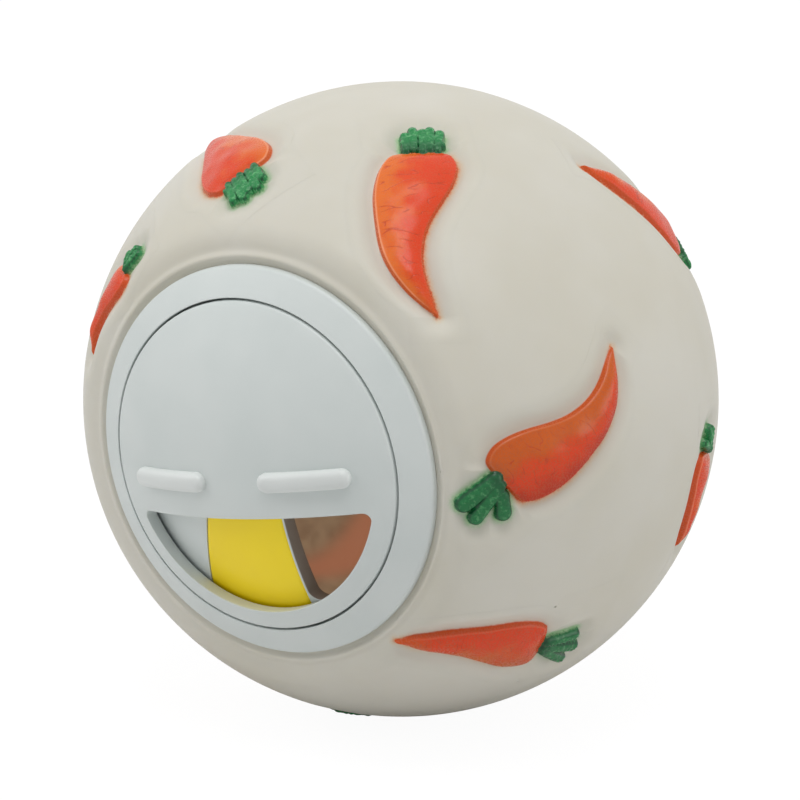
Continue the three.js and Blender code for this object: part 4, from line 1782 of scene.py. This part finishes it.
@dataclass(frozen=True)
class Door:
    """The turning door: domed disc with a half-moon window, two finger ribs and a split post."""

    insert: Insert
    turn: float = 10.4
    window_border: float = 2.15
    window_lap: float = 0.5
    window_corner: float = 0.8
    edge_rounding: float = 0.2
    window_rounding: float = 0.12
    rib_start: float = 3.6
    rib_border: float = 3.85
    rib_width: float = 2.2
    rib_height: float = 1.1
    rib_wall: float = 0.3
    rib_shift: float = 0.65
    post_bore: float = 1.8
    post_hook: float = 0.35
    post_tip: float = 1.6
    post_slit: float = 0.8
    claws: int = 4
    edge_steps: int = 6
    front_steps: int = 30
    back_steps: int = 12
    rib_round: float = 2.6
    rib_sunk: float = 0.02

    def disc(self) -> Block:
        """Makes the disc as rings between the window's outline and the door's edge.

        A ray runs from the window's middle through each point of its outline to the edge. Points
        are spread along the rays, at the height of the dome. Near both edges the height drops as
        a quarter circle does.

        Returns:
            The block: front, edge, back and window wall, closed on itself.
        """
        size = self.insert
        outline = half_moon(
            size.outlet_chord + self.window_lap, size.door_radius - self.window_border, self.window_corner)
        middle = outline.mean(axis=0)
        ray = outline - middle
        ray = ray / np.linalg.norm(ray, axis=1, keepdims=True)
        along = (ray * middle).sum(axis=1)

        def rim(radius: float) -> Array:
            """Where the rays meet a circle about the axis."""
            return middle + ray * (-along + np.sqrt(along**2 - middle @ middle + radius**2))[:, None]

        normal = outward(outline)
        inner = edge_round(self.window_rounding, self.edge_steps)
        outer = edge_round(self.edge_rounding, self.edge_steps)[::-1]
        near, far = outline + normal * self.window_rounding, rim(size.door_radius - self.edge_rounding)
        edge = rim(size.door_radius)
        front, back = size.face_radius, size.door_back
        over, under = np.linspace(0, 1, self.front_steps)[1:-1], np.linspace(0, 1, self.back_steps)
        rings = [(outline + normal * step, front, fall) for step, fall in inner]
        rings += [(near + (far - near) * share, front, 0.0) for share in over]
        rings += [(rim(size.door_radius - step), front, fall) for step, fall in outer]
        rings += [(edge + (outline - edge) * share, back, 0.0) for share in under]
        heights = [size.dome(dome, np.linalg.norm(spots, axis=1)) - fall for spots, dome, fall in rings]
        flat = turned(np.concatenate([spots for spots, _, _ in rings]), self.turn)
        return lifted(flat, np.concatenate(heights)), [grid(len(rings), len(outline), True, True)]

    def rib(self, turn: float) -> Block:
        """Makes a finger rib: a bar with round ends whose top is round across.

        Its height is a low upright wall plus a rounded top: the square root of 1 less a power of 1
        less the distance in from the outline, as a share of half the width.

        Args:
            turn: Its direction from the door's middle, degrees.

        Returns:
            The block.
        """
        size = self.insert
        half = self.rib_width / 2
        inner, outer = self.rib_start + half, size.door_radius - self.rib_border - half
        swing = np.radians(np.linspace(0, 90, 22))
        straight = np.linspace(inner, outer, self.front_steps)[1:-1]
        along = np.concatenate([
            inner - half * np.cos(swing), straight, outer + half * np.cos(swing[::-1])])
        beyond = np.maximum(np.maximum(inner - along, along - outer), 0)
        width = np.sqrt(np.maximum(half**2 - beyond**2, 0))
        width[[0, -1]] = 0
        shares = np.sin(np.linspace(-np.pi / 2, np.pi / 2, 37))
        shift = -self.rib_shift * math.cos(math.radians(turn - self.turn))
        ridge = Ridge(
            Place.at(0, 0, turn), size.face_radius, along, np.full_like(along, shift), width, shares,
            size.door_thickness / 2)
        offset = width[:, None] * shares[None]
        inset = np.clip(half - np.hypot(beyond[:, None], offset), 0, None) / half
        foot = np.clip(inset / self.rib_sunk, 0, 1)
        crown = np.sqrt(1 - (1 - inset) ** self.rib_round)
        height = foot * self.rib_wall + (self.rib_height - self.rib_wall) * crown
        return ridge.block(height - self.rib_sunk, np.array([0, -size.face_centre, 0]))

    def build(self, disc: bpy.types.Material, rib: bpy.types.Material) -> None:
        """Makes the door's disc with its post, and the two ribs.

        Args:
            disc: Finish of the disc and post.
            rib: Finish of the ribs: smoother, and lighter as a painted highlight.
        """
        size = self.insert
        surface = Surface()
        surface.add(self.disc())
        front = float(size.dome(size.face_radius, 0)) - size.door_thickness / 2
        collar = rounded([
            (self.post_bore, front, 0), (self.post_bore, size.hub_front, 0),
            (size.post_radius, size.hub_front, 0), (size.post_radius, front, 0)])
        surface.add(revolve(collar, 96))
        hook = size.hub_back - size.plate_play
        tooth = rounded([
            (self.post_bore, size.hub_front + size.plate_play, 0),
            (self.post_bore, hook - self.post_tip, 0.15),
            (size.post_radius - self.post_hook, hook - self.post_tip, 0.2),
            (size.post_radius + self.post_hook, hook, 0.12),
            (size.post_radius, hook, 0.05),
            (size.post_radius, size.hub_front + size.plate_play, 0),
        ])
        spread = 360 / self.claws
        for number in range(self.claws):
            middle = self.turn + spread * (number + 0.5)
            surface.add(claw(tooth, middle, spread, self.post_slit, 24))
        surface.build("turning_disc", Body.DOOR, Slot.GREY, disc, replaces="door")
        ribs = Surface()
        for turn in (self.turn, self.turn + 180):
            ribs.add(self.rib(turn))
        ribs.build("finger_ribs", Body.DOOR, Slot.GREY, rib, crease=50)


@dataclass(frozen=True)
class Plate:
    """The fixed plate behind the door, with its outlet, hub, rim and notches, and the yellow inlay."""

    insert: Insert
    outlet_border: float = 2.7
    outlet_corner: float = 1.2
    outlet_turn: float = 99.35
    outlet_rounding: float = 0.14
    key_clearance: float = 0.2
    notch_depth: float = 1.8
    inlay_chord: float = 4.0
    inlay_lean: float = 10.2
    inlay_border: float = 1.7
    inlay_margin: float = 0.3
    inlay_thickness: float = 0.4
    inlay_play: float = 0.05
    inlay_rounding: float = 0.12
    inlay_steps: int = 60
    inlay_fine_rows: int = 400
    rim_overlap: float = 0.2
    outlet_spacing: float = 0.3
    outlet_steps: int = 5
    rim_steps: int = 240
    notch_slope: Span = (1.12, 0.92)
    recess_steps: int = 40
    recess_draft: float = 0.04
    net_bore: float = 0.8
    net_rim: float = 0.3
    net_step: float = 0.9
    net_gap: float = 0.45
    net_merge: float = 1e-6

    def inlay_corners(self, play: float) -> tuple[float, Array, Array]:
        """Finds the inlay's edges, grown by a play.

        Args:
            play: How much further out its edges lie.

        Returns:
            The height of its upper edge, and for its left and right edge the sideways place at the
            axis's height and the sideways change with each millimetre up.
        """
        left, right = math.radians(self.inlay_lean), math.radians(self.outlet_turn - 90)
        top = play - self.insert.post_bore - self.inlay_margin
        left_edge = np.array([-(self.inlay_chord + play) / math.cos(left), math.tan(left)])
        reach = self.insert.outlet_chord - self.inlay_margin + play
        right_edge = np.array([reach / math.cos(right), -math.tan(right)])
        return top, left_edge, right_edge

    def inlay_grid(self, play: float, rows: int, columns: int) -> Array:
        """Spreads a grid over the inlay, from its upper edge down to its arc.

        Each column runs straight from its place on the upper edge to its place on the arc. There
        the angle goes evenly from the left edge's end to the right edge's end.

        Args:
            play: How much further out its edges lie.
            rows: Rows from top to bottom.
            columns: Columns from left to right.

        Returns:
            Rows of columns of two coordinates.
        """
        top, left, right = self.inlay_corners(play)
        radius = self.insert.plate_radius - self.inlay_border + play

        def foot(edge: Array) -> float:
            """Finds where an edge meets the arc, by the quadratic formula.

            Args:
                edge: The edge's sideways place and its change with each millimetre up.

            Returns:
                The angle of the meeting point, radians.
            """
            start, slope = edge
            square = 1 + slope**2
            half = start * slope
            down = (-half - math.sqrt(half**2 - square * (start**2 - radius**2))) / square
            return math.atan2(down, start + slope * down)

        upper = np.linspace(left[0] + left[1] * top, right[0] + right[1] * top, columns)
        angle = np.linspace(foot(left), foot(right), columns)
        start = np.stack([upper, np.full(columns, top)], axis=-1)
        end = radius * np.stack([np.cos(angle), np.sin(angle)], axis=-1)
        return start + (end - start) * np.linspace(0, 1, rows)[:, None, None]

    def edge_of(self, spots: Array) -> Array:
        """Gives the outline of a grid of spots, anticlockwise."""
        loop = [spots[0, ::-1][:-1], spots[:, 0][:-1], spots[-1][:-1], spots[::-1, -1][:-1]]
        return np.concatenate(loop)

    def build_inlay(self, material: bpy.types.Material) -> None:
        """Makes the inlay: a thin domed sheet with rounded edges.

        Its rows are chosen from a finer grid, closer together near the upper edge and the arc.

        Args:
            material: Its finish.
        """
        size = self.insert
        rows = columns = self.inlay_steps
        bend = np.sin(np.linspace(-np.pi / 2, np.pi / 2, rows)) / 2 + 0.5
        even = np.linspace(0, 1, rows)
        spots = self.inlay_grid(0, self.inlay_fine_rows, columns)
        chosen = (even + bend) / 2 * (self.inlay_fine_rows - 1)
        spots = spots[np.round(chosen).astype(int)]
        distance = np.linalg.norm(spots, axis=-1)
        lengths = [
            np.linalg.norm(spots - spots[:, :1], axis=-1), np.linalg.norm(spots - spots[:, -1:], axis=-1),
            np.linalg.norm(spots - spots[:1], axis=-1), np.linalg.norm(spots - spots[-1:], axis=-1)]
        inset = np.clip(np.min(lengths, axis=0) / self.inlay_rounding, 0, 1)
        fall = self.inlay_rounding * (1 - np.sqrt(1 - (1 - inset) ** 2))
        front = size.dome(size.plate_face, distance) - fall
        back = size.dome(size.plate_face - self.inlay_thickness, distance)
        points = np.concatenate([lifted(spots, height).reshape(-1, 3) for height in (front, back)])
        face = grid(rows, columns)
        loop = self.edge_of(np.arange(rows * columns).reshape(rows, columns))
        after = np.roll(loop, -1)
        deep = rows * columns
        wall = np.stack([loop, after, after + deep, loop + deep], axis=-1)
        surface = Surface()
        surface.add((points, [face, (face + deep)[:, ::-1], wall]))
        surface.build("yellow_field", Body.BALL, Slot.YELLOW, material, replaces="indicator_inlay")

    def outlet(self) -> Array:
        """Draws the outlet's outline.

        Returns:
            The outline, anticlockwise as seen from the front.
        """
        reach = self.insert.plate_radius - self.outlet_border
        outline = half_moon(self.insert.outlet_chord, reach, self.outlet_corner, self.outlet_spacing)
        return turned(outline, self.outlet_turn)

    def outlines(self) -> list[tuple[Array, float]]:
        """Draws the sheet's outlines: rim with notches, bore, the outlet's rounded edge and recess.

        Returns:
            Each outline with its own drop of the front. The recess's floor comes last.
        """
        size = self.insert
        angle, ring = directions(self.rim_steps)
        rim = size.plate_radius - size.rim_width + self.rim_overlap
        notch = self.notch_depth - size.rim_width + self.rim_overlap
        turns = [np.degrees(angle) - key for key in size.key_angles]
        near = np.min([np.abs((turn + 180) % 360 - 180) for turn in turns], axis=0)
        reach = np.degrees((size.key_width / 2 + self.key_clearance) / rim)
        slope = smooth(*(reach * share for share in self.notch_slope), near)
        outlet = self.outlet()
        normal = outward(outlet)
        recess = self.edge_of(self.inlay_grid(self.inlay_play, self.recess_steps, self.recess_steps))
        return [
            (ring * (rim - notch * slope)[:, None], 0.0),
            (ring[::4] * size.post_bore, 0.0),
            *((outlet + normal * step, fall)
              for step, fall in edge_round(self.outlet_rounding, self.outlet_steps)),
            (recess + outward(recess) * self.recess_draft, 0.0),
            (recess, self.inlay_thickness + self.inlay_play),
        ]

    def net(self) -> tuple[Array, Array, Array]:
        """Fills the sheet with a flat net of triangles.

        The outlines are its fixed edges, with rings of points between them.

        Returns:
            The points, how far the front drops at each, and the triangles.
        """
        size = self.insert
        loops = self.outlines()
        points = [loop for loop, _ in loops]
        drops = [np.full(len(loop), drop) for loop, drop in loops]
        starts = np.cumsum([0] + [len(loop) for loop in points])
        chains = [start + np.arange(len(loop)) for start, loop in zip(starts, points, strict=False)]
        edges = np.concatenate([np.stack([chain, np.roll(chain, -1)], axis=-1) for chain in chains])

        first = size.post_bore + self.net_bore
        last = size.plate_radius - self.notch_depth - self.net_rim
        rings = np.arange(first, last, self.net_step)
        fill = (rings[:, None, None] * directions(self.rim_steps)[1][::3]).reshape(-1, 2)
        gaps = [np.linalg.norm(fill[:, None] - loop[::2], axis=-1).min(axis=1) for loop in points]
        fill = fill[np.min(gaps, axis=0) > self.net_gap]
        recess, depth = loops[-1]
        flat = np.concatenate([*points, fill])
        drop = np.concatenate([*drops, inside(fill, recess) * depth])

        net = delaunay_2d_cdt([Vector(spot) for spot in flat], edges.tolist(), [], 0, self.net_merge)
        source = np.array([group[0] for group in net[3]])
        flat, drop, faces = flat[source], drop[source], np.array(net[2])
        middle = flat[faces].mean(axis=1)
        kept = inside(middle, points[0]) & ~inside(middle, points[1]) & ~inside(middle, self.outlet())
        used, faces = np.unique(faces[kept], return_inverse=True)
        return flat[used], drop[used], faces.reshape(-1, 3)

    def sheet(self) -> Block:
        """Makes the domed sheet: the net, lifted to two domes and closed by walls.

        Returns:
            The block.
        """
        size = self.insert
        flat, drop, faces = self.net()
        distance = np.linalg.norm(flat, axis=1)
        front = size.dome(size.plate_face, distance) - drop
        back = size.dome(size.plate_back, distance)
        sides = np.concatenate([faces[:, [0, 1]], faces[:, [1, 2]], faces[:, [2, 0]]])
        code = sides[:, 0] * len(flat) + sides[:, 1]
        mirror = sides[:, 1] * len(flat) + sides[:, 0]
        start, end = sides[~np.isin(mirror, code)].T
        wall = np.stack([end, start, start + len(flat), end + len(flat)], axis=-1)
        points = np.concatenate([lifted(flat, front), lifted(flat, back)])
        return points, [faces, faces[:, ::-1] + len(flat), wall]

    def build(self, material: bpy.types.Material) -> None:
        """Makes the plate. The points of its outlet's wall are marked to take a painted shade.

        Args:
            material: Its finish.
        """
        size = self.insert
        surface = Surface()
        block = self.sheet()
        outlet = self.outlet()
        away = np.linalg.norm(block[0][:, None, [0, 2]] - outlet[None], axis=-1).min(axis=1)
        # Marks the outlet's wall for painted shade.
        surface.add(block, cut=(away < self.outlet_rounding / 4) * 1.0)
        hub = rounded([
            (size.post_bore, size.hub_front, 0.1),
            (size.post_bore, size.hub_back, 0.12),
            (size.hub_radius, size.hub_back, 0.2),
            (size.hub_radius, size.hub_front, 0),
        ])
        surface.add(revolve(hub, 96))
        inner = size.plate_radius - size.rim_width
        rim = rounded([
            (inner, size.rim_front, 0.15), (inner, size.rim_back, 0.15),
            (size.plate_radius, size.rim_back, 0.2), (size.plate_radius, size.rim_front, 0.2)])
        spread = 360 / size.keys
        for angle in size.key_angles:
            gap = size.key_width + 2 * self.key_clearance
            surface.add(claw(rim, angle + spread / 2, spread, gap, 70))
        surface.build("fixed_plate_dressed", Body.BALL, Slot.GREY, material, replaces="fixed_plate")


@dataclass(frozen=True)
class Lamp:
    """A square soft light that points at the ball."""

    name: str
    azimuth: float
    elevation: float
    distance: float
    size: float
    energy: float


@dataclass(frozen=True)
class Studio:
    """The floor, the soft lights, the white surroundings and the camera."""

    azimuth: float = 34.29
    elevation: float = 18.15
    distance: float = 0.7
    lens: float = 284.04
    sensor: float = 36.0
    image: int = 800
    centre_pixel: Span = (400.9, 399.0)
    floor_size: float = 3.0
    floor_grey: float = 0.8
    floor_glow: float = 1.06
    floor_mix: float = 0.9
    sky: float = 0.66
    camera_side: float = 0.3
    sky_shine: float = 0.9
    lamps: tuple[Lamp, ...] = (
        Lamp("top_softbox", 40, 74, 0.9, 0.6, 3.6),
        Lamp("right_softbox", 108, 12, 1.0, 0.45, 1.2),
        Lamp("left_softbox", -55, 32, 1.0, 0.5, 1.6),
    )

    def direction(self, azimuth: float, elevation: float) -> Vector:
        """Gives the direction from the ball to a place round it."""
        turn, rise = math.radians(azimuth), math.radians(elevation)
        return Vector((math.sin(turn) * math.cos(rise), -math.cos(turn) * math.cos(rise), math.sin(rise)))

    def aim(
            self, thing: bpy.types.Object, centre: Vector, azimuth: float, elevation: float,
            distance: float) -> None:
        """Places a lamp or the camera and points it at the ball.

        Args:
            thing: The lamp or camera.
            centre: The point that it faces.
            azimuth: Degrees from the mouth towards +X.
            elevation: Degrees above the level of that point.
            distance: Distance from that point, metres.
        """
        outwards = self.direction(azimuth, elevation)
        thing.location = centre + outwards * distance
        thing.rotation_euler = outwards.to_track_quat("Z", "Y").to_euler()

    def build(self, centre: Vector) -> None:
        """Makes the whole studio.

        Args:
            centre: The ball's centre.
        """
        self.build_floor()
        self.build_world()
        for lamp in self.lamps:
            self.build_lamp(lamp, centre)
        self.build_camera(centre)
        bpy.context.scene.view_settings.view_transform = "Standard"

    def build_floor(self) -> None:
        """Makes the floor: white to the camera, and a little darker in the ball's shadow."""
        half = self.floor_size / 2
        mesh = bpy.data.meshes.new("studio_floor")
        corners = [(-half, -half, 0), (half, -half, 0), (half, half, 0), (-half, half, 0)]
        mesh.from_pydata(corners, [], [(0, 1, 2, 3)])
        floor = link("studio_floor", mesh)
        material, sheet = new_material("studio_white")
        seen = sheet.add("ShaderNodeLightPath")
        grey = (self.floor_grey, self.floor_grey, self.floor_grey, 1)
        matt = sheet.add("ShaderNodeBsdfDiffuse", None, {"Color": grey})
        glow = sheet.add("ShaderNodeEmission", None, {"Color": WHITE, "Strength": self.floor_glow})
        shown = sheet.add("ShaderNodeMixShader", None, {0: seen * self.floor_mix, 1: matt, 2: glow})
        sheet.add("ShaderNodeOutputMaterial", None, {"Surface": shown})
        mesh.materials.append(material)

    def build_world(self) -> None:
        """Makes the surroundings: white to the camera, nearly white in reflections, dimmer as a light.

        As a light they are dimmest on the camera's side.
        """
        world = bpy.data.worlds.new("studio")
        world.use_nodes = True
        bpy.context.scene.world = world
        sheet = NodeSheet(world.node_tree)
        camera, glossy, through = (sheet.add("ShaderNodeLightPath", output=k) for k in (0, 3, 6))
        direct = camera.larger(through)
        towards = tuple(self.direction(self.azimuth, 0))
        facing = sheet.add(
            "ShaderNodeVectorMath", {"operation": "DOT_PRODUCT"},
            {0: sheet.add("ShaderNodeTexCoord", output=0), 1: towards}, 1)
        dimmed = self.sky - (self.sky - self.camera_side) * facing.above(0.0, 0.8)
        strength = direct * (1 - dimmed) + dimmed
        shiny = glossy * (1 - direct)
        strength = strength * (1 - shiny) + shiny * self.sky_shine
        glow = sheet.add("ShaderNodeBackground", None, {"Color": WHITE, "Strength": strength})
        sheet.add("ShaderNodeOutputWorld", None, {"Surface": glow})

    def build_lamp(self, lamp: Lamp, centre: Vector) -> None:
        """Makes one soft light.

        Args:
            lamp: Its sizes.
            centre: The point that it faces.
        """
        light = bpy.data.lights.new(lamp.name, "AREA")
        light.size = lamp.size
        light.energy = lamp.energy
        self.aim(link(lamp.name, light), centre, lamp.azimuth, lamp.elevation, lamp.distance)

    def build_camera(self, centre: Vector) -> None:
        """Makes the camera, shifted so that the ball's centre falls on its pixel.

        Args:
            centre: The ball's centre.
        """
        camera = bpy.data.cameras.new("camera")
        camera.lens = self.lens
        camera.sensor_width = self.sensor
        half = self.image / 2
        camera.shift_x = (half - self.centre_pixel[0]) / self.image
        camera.shift_y = (self.centre_pixel[1] - half) / self.image
        camera.clip_start, camera.clip_end = 0.01, 20
        holder = link("camera", camera)
        self.aim(holder, centre, self.azimuth, self.elevation, self.distance)
        bpy.context.scene.camera = holder


def main() -> None:
    """Builds the ball, the insert and the studio."""
    logging.basicConfig(level=logging.INFO, format="%(message)s")
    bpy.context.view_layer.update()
    insert = Insert()
    low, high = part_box("door")
    centre = Vector((0, 0, (low.z + high.z) / 2))
    Studio().build(centre)

    SoftBall(insert).build()
    grey = SatinPlastic("satin_grey", srgb(213, 219, 217), srgb(208, 215, 213), 0.46).material()
    # The ribs are the door's grey plastic with a smoother finish; their lighter colour is a painted
    # highlight.
    rib = SatinPlastic("rib_grey", srgb(222, 226, 224), srgb(218, 222, 220), 0.32, relief=0.004).material()
    yellow = SatinPlastic("inlay_yellow", srgb(255, 226, 0), srgb(252, 220, 0), 0.4).material()
    Ring(insert).build(grey)
    plate = Plate(insert)
    plate.build(grey)
    plate.build_inlay(yellow)
    Door(insert).build(grey, rib)


if __name__ == "__main__":
    main()
